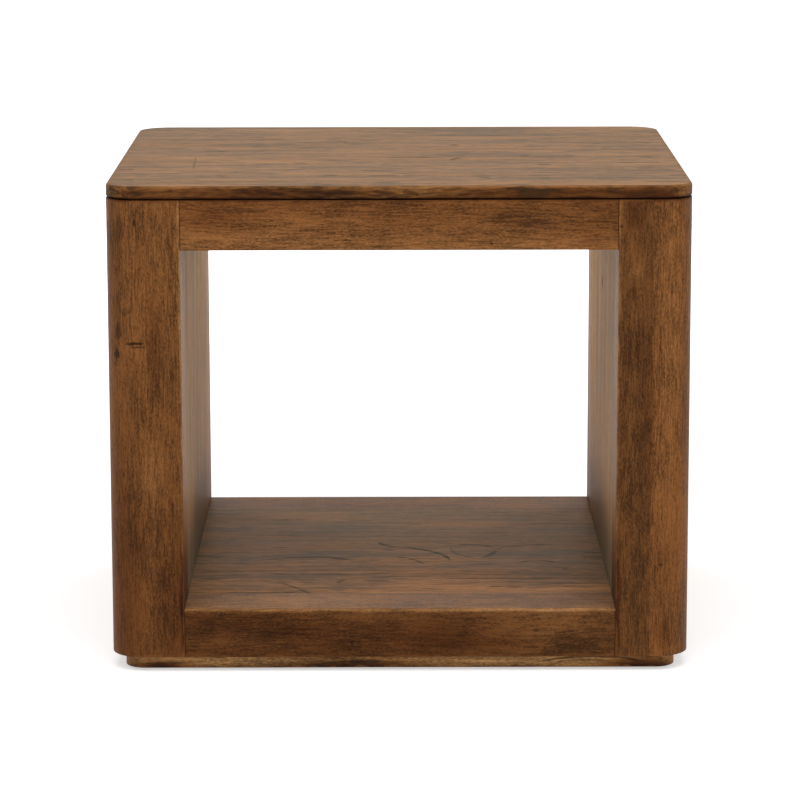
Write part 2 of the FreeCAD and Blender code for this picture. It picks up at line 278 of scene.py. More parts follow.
def make_wobble(graph: Graph, given: Sockets) -> Sockets:
    """Let grain wander sideways a little as it runs along X, and marks far less.

    Args:
        graph: the group's own graph.
        given: its inputs.

    Returns:
        The grain's place, the marks' steadier place, and how a mark's width varies.
    """
    moved = moved_by_seed(graph, given)
    slow = graph.noise(moved, SLOW_DRIFT, 1.0)
    quick = graph.noise(moved, QUICK_DRIFT)
    drift = graph.maths("ADD", graph.swing(slow, 0.020), graph.swing(quick, 0.002))
    calm = graph.swing(quick, 0.004)
    return {
        "Vector": graph.vector("ADD", given["Vector"], graph.join(0.0, drift, drift)),
        "Steady": graph.vector("ADD", given["Vector"], graph.join(0.0, calm, calm)),
        "Uneven": graph.remap(quick, 0.35, 0.60, 0.6, 1.15),
    }


def make_fibres(graph: Graph, given: Sockets) -> Sockets:
    """Draw what follows the grain along X.

    Args:
        graph: the group's own graph.
        given: its inputs.

    Returns:
        Streaks, short dashes, stain clouds, pores, flecks and mottle, each from 0 to 1.
    """
    moved = moved_by_seed(graph, given)
    streaks = graph.noise(moved, given["Streak Scale"], 4.0, 0.6)
    dashes = graph.noise(moved, given["Dash Scale"], 2.0, 0.6)
    cloudy = graph.noise(moved, given["Cloud Scale"], 3.0, 0.55)
    pores = graph.noise(moved, PORE_SCALE, 2.0, 0.6)
    flecks = graph.noise(moved, given["Fleck Scale"])
    mottle = graph.noise(moved, MOTTLE_SCALE, 3.0)
    return {
        "Streaks": streaks,
        "Dashes": dashes,
        "Cloud": cloudy,
        "Pores": graph.remap(pores, 0.55, 0.70),
        "Flecks": graph.remap(flecks, 0.60, 0.66),
        "Mottle": mottle,
    }


def make_rings(graph: Graph, given: Sockets) -> Sockets:
    """Draw growth rings round a pith that lies along X, with the wander of a real tree.

    Args:
        graph: the group's own graph.
        given: its inputs.

    Returns:
        The place within a ring, and the dark line where a ring ends.
    """
    moved = moved_by_seed(graph, given)
    slow = graph.noise(moved, RING_DRIFT, 1.5)
    _, across, deep = graph.split(graph.vector("SUBTRACT", given["Vector"], given["Pith"]))
    square = graph.maths("ADD", graph.maths("POWER", across, 2.0), graph.maths("POWER", deep, 2.0))
    count = graph.maths("DIVIDE", graph.maths("SQRT", square), given["Ring Width"])
    count = graph.maths("ADD", count, graph.maths("MULTIPLY", slow, given["Wander"]))
    within = graph.maths("FRACT", count)
    rise = graph.remap(within, 0.82, 0.96)
    fall = graph.remap(within, 0.96, 1.0, 1.0, 0.0)
    broken = graph.remap(graph.noise(moved, RING_BREAKS), 0.42, 0.60)
    return {"Band": within, "Line": graph.maths("MULTIPLY", graph.maths("MULTIPLY", rise, fall), broken)}


def make_hill(graph: Graph, given: Sockets) -> Sockets:
    """Add a soft hill round one spot to what other spots gave.

    Args:
        graph: the group's own graph.
        given: its inputs.

    Returns:
        The hills so far with this one.
    """
    offset = graph.vector("SUBTRACT", given["Vector"], given["Centre"])
    scaled = graph.vector("DIVIDE", offset, given["Size"])
    square = graph.dot(scaled, scaled)
    falloff = graph.maths("EXPONENT", graph.maths("MULTIPLY", square, -1.0))
    return {"Total": graph.maths("MULTIPLY_ADD", falloff, given["Amount"], given["So Far"])}


def make_knot(graph: Graph, given: Sockets) -> Sockets:
    """Add a ragged dark spot, such as a pin knot or a lick of black stain.

    Args:
        graph: the group's own graph.
        given: its inputs.

    Returns:
        The dark marks so far with this one.
    """
    offset = graph.vector("SUBTRACT", given["Vector"], given["Centre"])
    scaled = graph.vector("DIVIDE", offset, given["Size"])
    ragged = graph.noise(scaled, KNOT_RAGS, 3.0, 0.6)
    reach = graph.maths("SQRT", graph.dot(scaled, scaled))
    reach = graph.maths("ADD", reach, graph.swing(ragged, 2.2))
    spot = graph.maths("MULTIPLY", graph.remap(reach, 0.45, 1.15, 1.0, 0.0), given["Amount"])
    return {"Total": graph.maths("MAXIMUM", spot, given["So Far"])}


def make_growth_line(graph: Graph, given: Sockets) -> Sockets:
    """Add a thin dark line that bows from its start over its span, and thins out at both ends.

    Args:
        graph: the group's own graph.
        given: its inputs.

    Returns:
        The dark marks so far with this one.
    """
    offset = graph.vector("SUBTRACT", given["Vector"], given["Start"])
    square = graph.dot(given["Span"], given["Span"])
    along = graph.maths("DIVIDE", graph.dot(offset, given["Span"]), square, clamp=True)
    hump = graph.maths("MULTIPLY", graph.maths("SUBTRACT", 1.0, along), along)
    hump = graph.maths("MULTIPLY", hump, 4.0)
    chord = graph.vector("MULTIPLY", given["Span"], graph.join(along, along, along))
    bowed = graph.vector("MULTIPLY", given["Bow"], graph.join(hump, hump, hump))
    miss = graph.vector("SUBTRACT", graph.vector("SUBTRACT", offset, chord), bowed)
    away = graph.maths("SQRT", graph.dot(miss, miss))
    taper = graph.remap(hump, 0.0, 0.6)
    width = graph.maths("MULTIPLY", given["Thickness"], graph.maths("MULTIPLY_ADD", taper, 0.7, 0.3))
    width = graph.maths("MULTIPLY", width, given["Uneven"])
    line = graph.remap(graph.maths("DIVIDE", away, width), 0.3, 1.0, 1.0, 0.0)
    line = graph.maths("MULTIPLY", graph.maths("MULTIPLY", line, taper), given["Amount"])
    line = graph.maths("MULTIPLY", line, given["Uneven"])
    return {"Total": graph.maths("MAXIMUM", line, given["So Far"])}


def make_edge_distance(graph: Graph, given: Sockets) -> Sockets:
    """Measure how far a point on a block's surface lies from the block's nearest edge.

    Args:
        graph: the group's own graph.
        given: its inputs.

    Returns:
        The distance.
    """
    from_low = graph.vector("SUBTRACT", given["Vector"], given["Low"])
    from_high = graph.vector("SUBTRACT", given["High"], given["Vector"])
    x, y, z = graph.split(graph.vector("MINIMUM", from_low, from_high))
    middle = graph.maths("MINIMUM", graph.maths("MAXIMUM", x, y), z)
    return {"Distance": graph.maths("MAXIMUM", graph.maths("MINIMUM", x, y), middle)}


def edge_mask(graph: Graph, given: Sockets, spread: Socket, solid: float) -> Socket:
    """Fade an effect out with the distance from an edge.

    Args:
        graph: the group's own graph.
        given: its inputs, with a distance, a width and an amount among them.
        spread: how the width varies from place to place.
        solid: the share of the width where the effect is full.

    Returns:
        The effect's mask.
    """
    width = graph.maths("MULTIPLY", given["Width"], spread)
    mask = graph.remap(graph.maths("DIVIDE", given["Distance"], width), solid, 1.0, 1.0, 0.0)
    return graph.maths("MULTIPLY", mask, given["Amount"])


def make_edge_wear(graph: Graph, given: Sockets) -> Sockets:
    """Rub the stain thin along edges, in uneven patches.

    Args:
        graph: the group's own graph.
        given: its inputs.

    Returns:
        The worn colour.
    """
    patch = graph.noise(given["Vector"], WEAR_PATCHES, 3.0, 0.6)
    mask = edge_mask(graph, given, graph.remap(patch, 0.35, 0.75, 0.25, 1.6), 0.15)
    return {"Colour": graph.blend(mask, given["Colour"], given["Worn Colour"])}


def make_seam_shade(graph: Graph, given: Sockets) -> Sockets:
    """Gather stain and dust in the fine line where two boards meet.

    Args:
        graph: the group's own graph.
        given: its inputs.

    Returns:
        The shaded colour.
    """
    broken = graph.noise(given["Vector"], SEAM_BREAKS)
    mask = edge_mask(graph, given, graph.remap(broken, 0.3, 0.7, 0.6, 1.3), 0.3)
    return {"Colour": graph.blend(mask, given["Colour"], BLACK_STAIN)}


def make_stain(graph: Graph, given: Sockets) -> Sockets:
    """Lay stain over a board's fibres, rings and marks.

    Args:
        graph: the group's own graph.
        given: its inputs.

    Returns:
        The stained wood's colour, relief and roughness.
    """
    sway: Any = 0.0
    for name, weight in TONE_LAYERS:
        sway = graph.maths("ADD", sway, graph.swing(given[name], weight))
    tone = graph.maths("MULTIPLY_ADD", sway, given["Contrast"], 0.5, clamp=True)
    toned = graph.blend(tone, given["Dark"], given["Light"])
    # Patches darken or lighten by factors of two; some are stain, others painted light and shade.
    steeped = [
        graph.maths("POWER", 2.0, graph.maths("MULTIPLY", given["Patch"], depth)) for depth in STAIN_DEPTHS
    ]
    toned = graph.blend(1.0, toned, graph.join(*steeped), "MULTIPLY")
    pits, lines, flecks = (
        graph.maths("MULTIPLY", given[layer], given[depth])
        for layer, depth in (("Pores", "Pore Depth"), ("Line", "Line Depth"), ("Flecks", "Fleck Depth"))
    )
    lined = graph.maths("MAXIMUM", graph.maths("MAXIMUM", pits, lines), flecks)
    lined = graph.blend(lined, toned, given["Line Colour"])
    spotted = graph.blend(given["Spots"], lined, BLACK_STAIN)
    relief = graph.maths("MULTIPLY", given["Streaks"], 0.5)
    for name, weight in RELIEF_LAYERS:
        relief = graph.maths("MULTIPLY_ADD", given[name], weight, relief)
    gloss = graph.maths("ADD", graph.swing(given["Cloud"], 0.16), given["Sheen"])
    gloss = graph.maths("MULTIPLY_ADD", given["Spots"], 0.12, gloss)
    return {"Colour": spotted, "Height": relief, "Roughness": gloss}


FIBRE_LAYERS = ("Streaks", "Dashes", "Cloud", "Pores", "Flecks", "Mottle")
FIBRE_SCALES = ("Streak Scale", "Dash Scale", "Cloud Scale", "Fleck Scale")
SPOT_SOCKETS = (
    place("Vector"), place("Centre"), place("Size", (1.0, 1.0, 1.0)), number("Amount"), number("So Far")
)
EDGE_SOCKETS = (colour("Colour"), place("Vector"), number("Distance"), number("Width"), number("Amount"))

WOBBLE = EffectGroup(
    "Grain wobble",
    [place("Vector"), number("Seed")],
    [place("Vector"), place("Steady"), number("Uneven")],
    make_wobble,
)
FIBRES = EffectGroup(
    "Wood fibres",
    [place("Vector"), number("Seed"), *(place(name) for name in FIBRE_SCALES)],
    [number(name) for name in FIBRE_LAYERS],
    make_fibres,
)
RINGS = EffectGroup(
    "Growth rings",
    [place("Vector"), number("Seed"), place("Pith"), number("Ring Width"), number("Wander")],
    [number("Band"), number("Line")],
    make_rings,
)
HILL = EffectGroup("Soft hill", SPOT_SOCKETS, [number("Total")], make_hill)
KNOT = EffectGroup("Dark knot", SPOT_SOCKETS, [number("Total")], make_knot)
GROWTH_LINE = EffectGroup(
    "Growth line",
    [place("Vector"), number("Uneven"), place("Start"), place("Span"), place("Bow"), number("Thickness"),
     number("Amount"), number("So Far")],
    [number("Total")],
    make_growth_line,
)
EDGE_DISTANCE = EffectGroup(
    "Edge distance", [place("Vector"), place("Low"), place("High")], [number("Distance")], make_edge_distance
)
EDGE_WEAR = EffectGroup(
    "Edge wear", [*EDGE_SOCKETS, colour("Worn Colour")], [colour("Colour")], make_edge_wear
)
SEAM_SHADE = EffectGroup("Seam shade", EDGE_SOCKETS, [colour("Colour")], make_seam_shade)
STAIN = EffectGroup(
    "Stained wood",
    [
        *(colour(name) for name in ("Light", "Dark", "Line Colour")),
        *(number(name) for name in ("Contrast", "Sheen", "Pore Depth", "Line Depth", "Fleck Depth")),
        *(number(name) for name in (*FIBRE_LAYERS, "Band", "Line", "Spots", "Patch")),
    ],
    [colour("Colour"), number("Height"), number("Roughness")],
    make_stain,
)


# ----------------------------------------------------------------------- marks
class Axis(Enum):
    """A direction of the table's frame, as the axes of a u and a v across it and its own."""

    X = (1, 2, 0)
    Y = (0, 2, 1)
    Z = (0, 1, 2)


class GrainRun(Enum):
    """The way a board's grain lies in the table."""

    ACROSS = "left to right"
    UPRIGHT = "floor to top"
    DEPTHWISE = "front to back"

    def turned(self, triple: Triple) -> Triple:
        """Reorder a place or a size of the table's frame so that the grain lies along X."""
        x, y, z = triple
        return {GrainRun.ACROSS: (x, y, z), GrainRun.UPRIGHT: (z, x, y), GrainRun.DEPTHWISE: (y, x, z)}[self]

    def turned_socket(self, graph: Graph, vector: Socket) -> Socket:
        """Do the same to a vector socket.

        Args:
            graph: the tree that it is in.
            vector: the socket.

        Returns:
            The reordered vector.
        """
        if self is GrainRun.ACROSS:
            return vector
        return graph.join(*self.turned(graph.split(vector)))


@dataclass(frozen=True)
class Mark:
    """Something that grew or was stained into the wood, or painted light and shade laid on it, in metres in
    the table's frame.
    """

    centre: Triple
    size: Triple
    amount: float
    group: ClassVar[EffectGroup]

    def reach(self) -> Triple:
        """Return how far the mark reaches from its centre."""
        return self.size

    def touches(self, low: Vector, high: Vector) -> bool:
        """Return whether the mark reaches into a box."""
        spans = zip(self.centre, self.reach(), low, high)
        return all(c + r > lo and c - r < hi for c, r, lo, hi in spans)

    def shape(self, run: GrainRun, wobble: Node) -> dict[str, Any]:
        """Return the inputs that shape the mark on a board with that run of grain."""
        return {"Centre": run.turned(self.centre), "Size": run.turned(self.size)}

    def added(self, graph: Graph, run: GrainRun, wobble: Node, so_far: Any) -> Socket:
        """Add the mark to those before it.

        Args:
            graph: the material's graph.
            run: the way the board's grain lies.
            wobble: the board's wobble group.
            so_far: what the marks before it gave.

        Returns:
            What they give together.
        """
        shape = self.shape(run, wobble)
        steady = wobble.outputs["Steady"]
        node = self.group.use(graph, Vector=steady, Amount=self.amount, So_Far=so_far, **shape)
        return node.outputs["Total"]


@dataclass(frozen=True)
class Patch(Mark):
    """A soft patch that is darker (amount below 0) or paler (above 0), by factors of two."""

    group: ClassVar[EffectGroup] = HILL


@dataclass(frozen=True)
class Knot(Mark):
    """A dark knot, nail hole or lick of black stain."""

    group: ClassVar[EffectGroup] = KNOT


@dataclass(frozen=True)
class GrowthLine(Mark):
    """A dark growth line that bows over its centre; its size is half its span."""

    bow: Triple
    thickness: float
    group: ClassVar[EffectGroup] = GROWTH_LINE

    def reach(self) -> Triple:
        """Return how far the line reaches from its centre."""
        return tuple(abs(s) + abs(b) + self.thickness for s, b in zip(self.size, self.bow))

    def shape(self, run: GrainRun, wobble: Node) -> dict[str, Any]:
        """Return the inputs that shape the line.

        Args:
            run: the way the board's grain lies.
            wobble: the board's wobble group.

        Returns:
            The value of each input.
        """
        start = tuple(c - s for c, s in zip(self.centre, self.size))
        span = tuple(2.0 * s for s in self.size)
        return {
            "Start": run.turned(start), "Span": run.turned(span), "Bow": run.turned(self.bow),
            "Thickness": self.thickness, "Uneven": wobble.outputs["Uneven"],
        }


# How deep a mark on a face reaches, and half the size of one that runs along the whole table.
SKIN = 0.004
ALONG = 2.0


@dataclass(frozen=True)
class Face:
    """A flat face, on which marks are placed by its own two axes, in the order x, y, z."""

    axis: Axis
    at: float

    def lifted(self, pair: Sequence[float], third: float) -> Triple:
        """Put the number for the axis that the face looks along between its own two."""
        numbers = list(pair)
        numbers.insert(self.axis.value[2], third)
        return tuple(numbers)

    def patch(self, middle: Point, size: Point, amount: float, depth: float = SKIN) -> Patch:
        """Return a soft darker or paler patch of that half size and depth, used for stain and for painted
        light and shade.
        """
        return Patch(self.lifted(middle, self.at), self.lifted(size, depth), amount)

    def knot(self, middle: Point, size: Point, amount: float) -> Knot:
        """Return a knot of that half size."""
        return Knot(self.lifted(middle, self.at), self.lifted(size, SKIN), amount)

    def line(self, start: Point, end: Point, bow: float, amount: float, thickness: float) -> GrowthLine:
        """Draw a growth line.

        Args:
            start: where it starts.
            end: where it ends.
            bow: how far it bows along the second of the face's axes.
            amount: how dark it is.
            thickness: half its width.

        Returns:
            The growth line.
        """
        centre = [(a + b) / 2 for a, b in zip(start, end)]
        half = [(b - a) / 2 for a, b in zip(start, end)]
        lean = bow * half[1] / (half[0] ** 2 + half[1] ** 2)
        bend = (-lean * half[0], bow - lean * half[1])
        return GrowthLine(
            self.lifted(centre, self.at), self.lifted(half, 0.0), amount, self.lifted(bend, 0.0), thickness
        )


# ---------------------------------------------------------------- board shapes
class Arris(Enum):
    """How an edge of a board is broken, as the radius of its rounding in metres."""

    GLUED = 0.00005
    JOINT = 0.0003
    EASED = 0.0010
    SHELF_LIP = 0.0040
    TOP_RIM = 0.0030


Edges = tuple[Arris, Arris, Arris, Arris]
JOINT_ALL: Edges = (Arris.JOINT,) * 4
EASED_ALL: Edges = (Arris.EASED,) * 4
GLUED_CORNERS: Radii = (Arris.GLUED.value,) * 4
SHARP_FROM = math.radians(50.0)
FLAT_FACE_WEIGHT = 90
# Two edges that turn less than this run straight on.
STRAIGHT = 1e-4
# Roundings smaller than each radius get that many flat strips, and larger ones the most.
ARC_STEPS = ((0.0001, 0), (0.0005, 1), (0.01, 4))
MOST_ARC_STEPS = 16
QUARTER = 0.5 * math.pi
FAR = 10.0


def arc_steps(radius: float) -> int:
    """Return how many flat strips a rounding of that radius gets; none keeps the corner sharp."""
    return next((steps for limit, steps in ARC_STEPS if radius < limit), MOST_ARC_STEPS)


def setback(radius: float, height: float) -> float:
    """Measure how far a rounded edge lies inside its face.

    Args:
        radius: the rounding's radius.
        height: how far from the end it is measured.

    Returns:
        The distance.
    """
    if height >= radius:
        return 0.0
    return radius - math.sqrt(max(radius * radius - (radius - height) ** 2, 0.0))


@dataclass
class Board:
    """A board as an outline with rounded corners, extruded along one axis with broken ends.

    The outline's corners go round from (low u, low v) to (high u, low v), (high u, high v) and
    (low u, high v). Its sides follow them: low v, high u, high v, low u.
    """

    name: str
    low: Vector
    high: Vector
    axis: Axis
    corners: Radii
    low_end: Edges = JOINT_ALL
    high_end: Edges = JOINT_ALL

    def outline(self) -> tuple[list[Point], list[int]]:
        """Draw the outline.

        Returns:
            Its points, and for each the number of the side that follows it.
        """
        u, v, _ = self.axis.value
        turns = (
            (self.low[u], self.low[v], 1, 1),
            (self.high[u], self.low[v], -1, 1),
            (self.high[u], self.high[v], -1, -1),
            (self.low[u], self.high[v], 1, -1),
        )
        points: list[Point] = []
        sides: list[int] = []
        for turn, ((at_u, at_v, du, dv), radius) in enumerate(zip(turns, self.corners)):
            steps = arc_steps(radius)
            if not steps:
                points.append((at_u, at_v))
                sides.append(turn)
                continue
            start = (turn + 2) % 4 * QUARTER
            for step in range(steps + 1):
                angle = start + QUARTER * step / steps
                points.append(
                    (at_u + radius * (du + math.cos(angle)), at_v + radius * (dv + math.sin(angle)))
                )
                sides.append(turn if step >= steps / 2 else (turn - 1) % 4)
        return points, sides

    @staticmethod
    def levels(ends: Edges) -> list[float]:
        """List the heights from one end at which its broken edges need points.

        Args:
            ends: how each side's edge is broken there.

        Returns:
            The heights, from the end inwards.
        """
        heights = {0.0}
        for radius in {end.value for end in ends}:
            steps = arc_steps(radius)
            heights |= {radius * (1 - math.cos(QUARTER * n / steps)) for n in range(1, steps + 1)}
        return sorted(heights)

    @staticmethod
    def inward(start: Point, end: Point) -> Point:
        """Return the unit normal that points into the outline from one of its edges."""
        length = math.hypot(end[0] - start[0], end[1] - start[1])
        return (start[1] - end[1]) / length, (end[0] - start[0]) / length

    def ring(self, points: list[Point], sides: list[int], ends: Edges, height: float) -> list[Point]:
        """Draw the outline in by each side's own setback.

        Args:
            points: the outline's points.
            sides: the side that follows each point.
            ends: how each side's edge is broken.
            height: how far the ring lies from its end of the board.

        Returns:
            The ring's points.
        """
        moved: list[Point] = []
        for index, here in enumerate(points):
            first = self.inward(points[index - 1], here)
            second = self.inward(here, points[(index + 1) % len(points)])
            first_back = setback(ends[sides[index - 1]].value, height)
            second_back = setback(ends[sides[index]].value, height)
            cross = first[0] * second[1] - first[1] * second[0]
            if abs(cross) < STRAIGHT:
                back = (first_back + second_back) / 2
                moved.append((here[0] + first[0] * back, here[1] + first[1] * back))
                continue
            a = first[0] * here[0] + first[1] * here[1] + first_back
            b = second[0] * here[0] + second[1] * here[1] + second_back
            moved.append(((a * second[1] - b * first[1]) / cross, (b * first[0] - a * second[0]) / cross))
        return moved

    def build(self) -> Piece:
        """Build the mesh.

        Returns:
            Its object.
        """
        u, v, along = self.axis.value
        points, sides = self.outline()
        bottom, top = self.low[along], self.high[along]
        rings = [(bottom + h, self.ring(points, sides, self.low_end, h)) for h in self.levels(self.low_end)]
        upper = [(top - h, self.ring(points, sides, self.high_end, h)) for h in self.levels(self.high_end)]
        mesh = bmesh.new()
        rows = []
        for height, ring in rings + upper[::-1]:
            row = []
            for point in ring:
                spot = Vector()
                spot[u], spot[v], spot[along] = *point, height
                row.append(mesh.verts.new(spot))
            rows.append(row)
        for lower, higher in zip(rows, rows[1:]):
            for index in range(len(points)):
                follow = (index + 1) % len(points)
                mesh.faces.new((lower[index], lower[follow], higher[follow], higher[index]))
        mesh.faces.new(rows[0][::-1])
        mesh.faces.new(rows[-1])
        bmesh.ops.recalc_face_normals(mesh, faces=mesh.faces)
        return finish_mesh(self.name, mesh)


def write_smooth(mesh: bmesh.types.BMesh, data: bpy.types.Mesh) -> None:
    """Shade a worked mesh smooth over its rounded edges, keep true corners, and write it out.

    Args:
        mesh: the worked mesh, which is freed.
        data: the mesh that it is written to.
    """
    for face in mesh.faces:
        face.smooth = True
    for edge in mesh.edges:
        edge.smooth = edge.calc_face_angle(0.0) < SHARP_FROM
    mesh.to_mesh(data)
    mesh.free()


def finish_mesh(name: str, mesh: bmesh.types.BMesh) -> Piece:
    """Turn a worked mesh into an object with smooth rounded edges and flat faces.

    Args:
        name: the object's name.
        mesh: the worked mesh, which is freed.

    Returns:
        The object, in the scene.
    """
    data = bpy.data.meshes.new(name)
    write_smooth(mesh, data)
    piece = bpy.data.objects.new(name, data)
    bpy.context.scene.collection.objects.link(piece)
    weighted = piece.modifiers.new("Flat faces", "WEIGHTED_NORMAL")
    weighted.weight = FLAT_FACE_WEIGHT
    weighted.keep_sharp = True
    return piece


def dress(piece: Piece, node: str, slot: str, material: Material) -> None:
    """Give a piece its material and its body, and hide the CAD node that it stands for.

    Args:
        piece: the piece.
        node: the CAD node that it replaces.
        slot: the node's material slot.
        material: the piece's material.
    """
    piece.data.materials.clear()
    piece.data.materials.append(material)
    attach(piece, BODY)
    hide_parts(node)
    LOG.info("built %s in %s", piece.name, slot)


def dress_cad(node: str, material: Material) -> None:
    """Give a CAD node that keeps its shape a better material.

    Args:
        node: the node.
        material: what its faces get.
    """
    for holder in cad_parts[node].material_slots:
        holder.material = material
    LOG.info("dressed %s", node)


def span(nodes: Iterable[str]) -> Box:
    """Measure the box round several CAD nodes.

    Args:
        nodes: the nodes.

    Returns:
        Its low and high corner.
    """
    boxes = [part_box(node) for node in nodes]
    low = Vector(min(box[0][axis] for box in boxes) for axis in range(3))
    high = Vector(max(box[1][axis] for box in boxes) for axis in range(3))
    return low, high


def stretched(box: Box, axis: Axis) -> Box:
    """Make a box very long along one axis, so that only its other edges count.

    Args:
        box: its low and high corner.
        axis: the axis.

    Returns:
        The long box.
    """
    reach = Vector()
    reach[axis.value[2]] = FAR
    return box[0] - reach, box[1] + reach


# -------------------------------------------------------------------- finishes
class Coat:
    """A material made of one Principled shader and the nodes that feed it."""

    def __init__(self, name: str) -> None:
        """Start a material that holds only the place on its object."""
        self.material = bpy.data.materials.new(name)
        self.material.use_nodes = True
        self.material.node_tree.nodes.clear()
        self.graph = Graph(self.material.node_tree)
        self.spot = self.graph.add("ShaderNodeTexCoord").outputs["Object"]

    def relief(self, height: Socket, strength: float, distance: float) -> Socket:
        """Return the normal of a relief of that strength and height in metres."""
        node = self.graph.add("ShaderNodeBump")
        return self.graph.fill(node, Strength=strength, Distance=distance, Height=height).outputs["Normal"]

    def finished(self, **inputs: Any) -> Material:
        """Add the shader and the output.

        Args:
            inputs: what each input of the shader gets, with underscores for the blanks in its name.

        Returns:
            The material.
        """
        shader = self.graph.fill(self.graph.add("ShaderNodeBsdfPrincipled"), **inputs)
        output = self.graph.add("ShaderNodeOutputMaterial")
        self.graph.feed(output.inputs["Surface"], shader.outputs["BSDF"])
        return self.material


@dataclass(frozen=True)
class WoodFinish:
    """Stain and lacquer of one kind of board; colours are linear."""

    slot: str
    base: Triple
    run: GrainRun
    darkest: float = 0.42
    lightest: float = 1.62
    line_tone: float = 0.22
    contrast: float = 1.0
    line_depth: float = 0.5
    pore_depth: float = 0.45
    fleck_depth: float = 0.25
    ring_width: float = 0.009
    wander: float = 2.6
    sheen: float = 0.46
    specular: float = 0.12
    relief: float = 0.3
    relief_height: float = 0.0005
    wear: float = 0.4
    wear_width: float = 0.0035
    worn_tone: float = 1.9
    seam: float = 0.5
    seam_width: float = 0.0011
    streaks: Point = (12.0, 300.0)
    dashes: Point = (210.0, 620.0)
    clouds: Point = (15.0, 36.0)
    flecks: Point = (70.0, 420.0)
    haze: float = 0.0
    haze_roughness: float = 0.35
    haze_tint: Triple = (1.0, 0.88, 0.50)

    def shade(self, factor: float) -> Colour:
        """Return the base colour made lighter or darker."""
        return (*(factor * c for c in self.base), 1.0)

    def total(self, coat: Coat, wobble: Node, marks: Iterable[Mark]) -> Any:
        """Add marks one after another.

        Args:
            coat: the board's material.
            wobble: its wobble group.
            marks: the marks.

        Returns:
            What they give together, or 0 without any.
        """
        so_far: Any = 0.0
        for mark in marks:
            so_far = mark.added(coat.graph, self.run, wobble, so_far)
        return so_far

    @staticmethod
    def edged(coat: Coat, surface: Socket, box: Box, effect: EffectGroup, **values: Any) -> Socket:
        """Lay an effect along the edges of a box.

        Args:
            coat: the board's material.
            surface: its colour so far.
            box: the box's low and high corner.
            effect: the effect's group.
            values: what its other inputs get.

        Returns:
            The colour with the effect.
        """
        distance = EDGE_DISTANCE.use(coat.graph, Vector=coat.spot, Low=box[0][:], High=box[1][:])
        shared = {"Colour": surface, "Vector": coat.spot, "Distance": distance.outputs["Distance"]}
        return effect.use(coat.graph, **shared, **values).outputs["Colour"]

    def material(
        self,
        name: str,
        seed: float,
        tone: float = 1.0,
        board: Box | None = None,
        worn_box: Box | None = None,
        seam_box: Box | None = None,
        pith: Triple = (0.0, 0.05, -0.08),
        marks: Sequence[Mark] = (),
    ) -> Material:
        """Make the material of one board.

        Args:
            name: the board's name.
            seed: picks the board's own grain.
            tone: how light the board is beside its neighbours.
            board: low and high corner of the board.
            worn_box: low and high corner of the box whose edges are worn.
            seam_box: low and high corner of the box whose edges are dark seams.
            pith: where the tree's middle lay, in the grain's own frame, from the board's middle.
            marks: marks anywhere on the table; the board takes those that reach it.

        Returns:
            The new material.
        """
        coat = Coat(f"{self.slot} {name}")
        graph = coat.graph
        wobble = WOBBLE.use(graph, Vector=self.run.turned_socket(graph, coat.spot), Seed=seed)
        shared = {"Vector": wobble.outputs["Vector"], "Seed": seed}
        middle = Vector() if board is None else (board[0] + board[1]) / 2
        pith_place = tuple(a + b for a, b in zip(self.run.turned(tuple(middle)), pith))
        own = [mark for mark in marks if board is not None and mark.touches(*board)]
        sizes = zip(FIBRE_SCALES, (self.streaks, self.dashes, self.clouds, self.flecks))
        scales = {scale: (along, across, across) for scale, (along, across) in sizes}
        fibres = FIBRES.use(graph, **shared, **scales)
        rings = RINGS.use(graph, **shared, Pith=pith_place, Ring_Width=self.ring_width, Wander=self.wander)
        stained = STAIN.use(
            graph,
            Light=self.shade(tone * self.lightest),
            Dark=self.shade(tone * self.darkest),
            Line_Colour=self.shade(self.line_tone),
            Contrast=self.contrast,
            Sheen=self.sheen,
            Pore_Depth=self.pore_depth,
            Line_Depth=self.line_depth,
            Fleck_Depth=self.fleck_depth,
            Patch=self.total(coat, wobble, (mark for mark in own if isinstance(mark, Patch))),
            Spots=self.total(coat, wobble, (mark for mark in own if not isinstance(mark, Patch))),
            Band=rings.outputs["Band"],
            Line=rings.outputs["Line"],
            **{layer: fibres.outputs[layer] for layer in FIBRE_LAYERS},
        )
        surface = stained.outputs["Colour"]
        if worn_box is not None:
            surface = self.edged(
                coat, surface, worn_box, EDGE_WEAR,
                Width=self.wear_width, Amount=self.wear, Worn_Colour=self.shade(self.worn_tone),
            )
        if seam_box is not None:
            surface = self.edged(
                coat, surface, seam_box, SEAM_SHADE, Width=self.seam_width, Amount=self.seam
            )
        return coat.finished(
            Normal=coat.relief(stained.outputs["Height"], self.relief, self.relief_height),
            Base_Color=surface,
            Roughness=stained.outputs["Roughness"],
            Specular_IOR_Level=self.specular,
            Sheen_Weight=self.haze,
            Sheen_Roughness=self.haze_roughness,
            Sheen_Tint=(*self.haze_tint, 1.0),
        )

    def lay_on(self, board: Board, node: str, seed: float, **look: Any) -> Piece:
        """Build a board with this finish, in place of a CAD node.

        Args:
            board: the board's shape.
            node: the CAD node.
            seed: picks the board's own grain.
            look: what else its material takes.

        Returns:
            The dressed piece.
        """
        piece = board.build()
        dress(piece, node, self.slot, self.material(node, seed, board=(board.low, board.high), **look))
        return piece


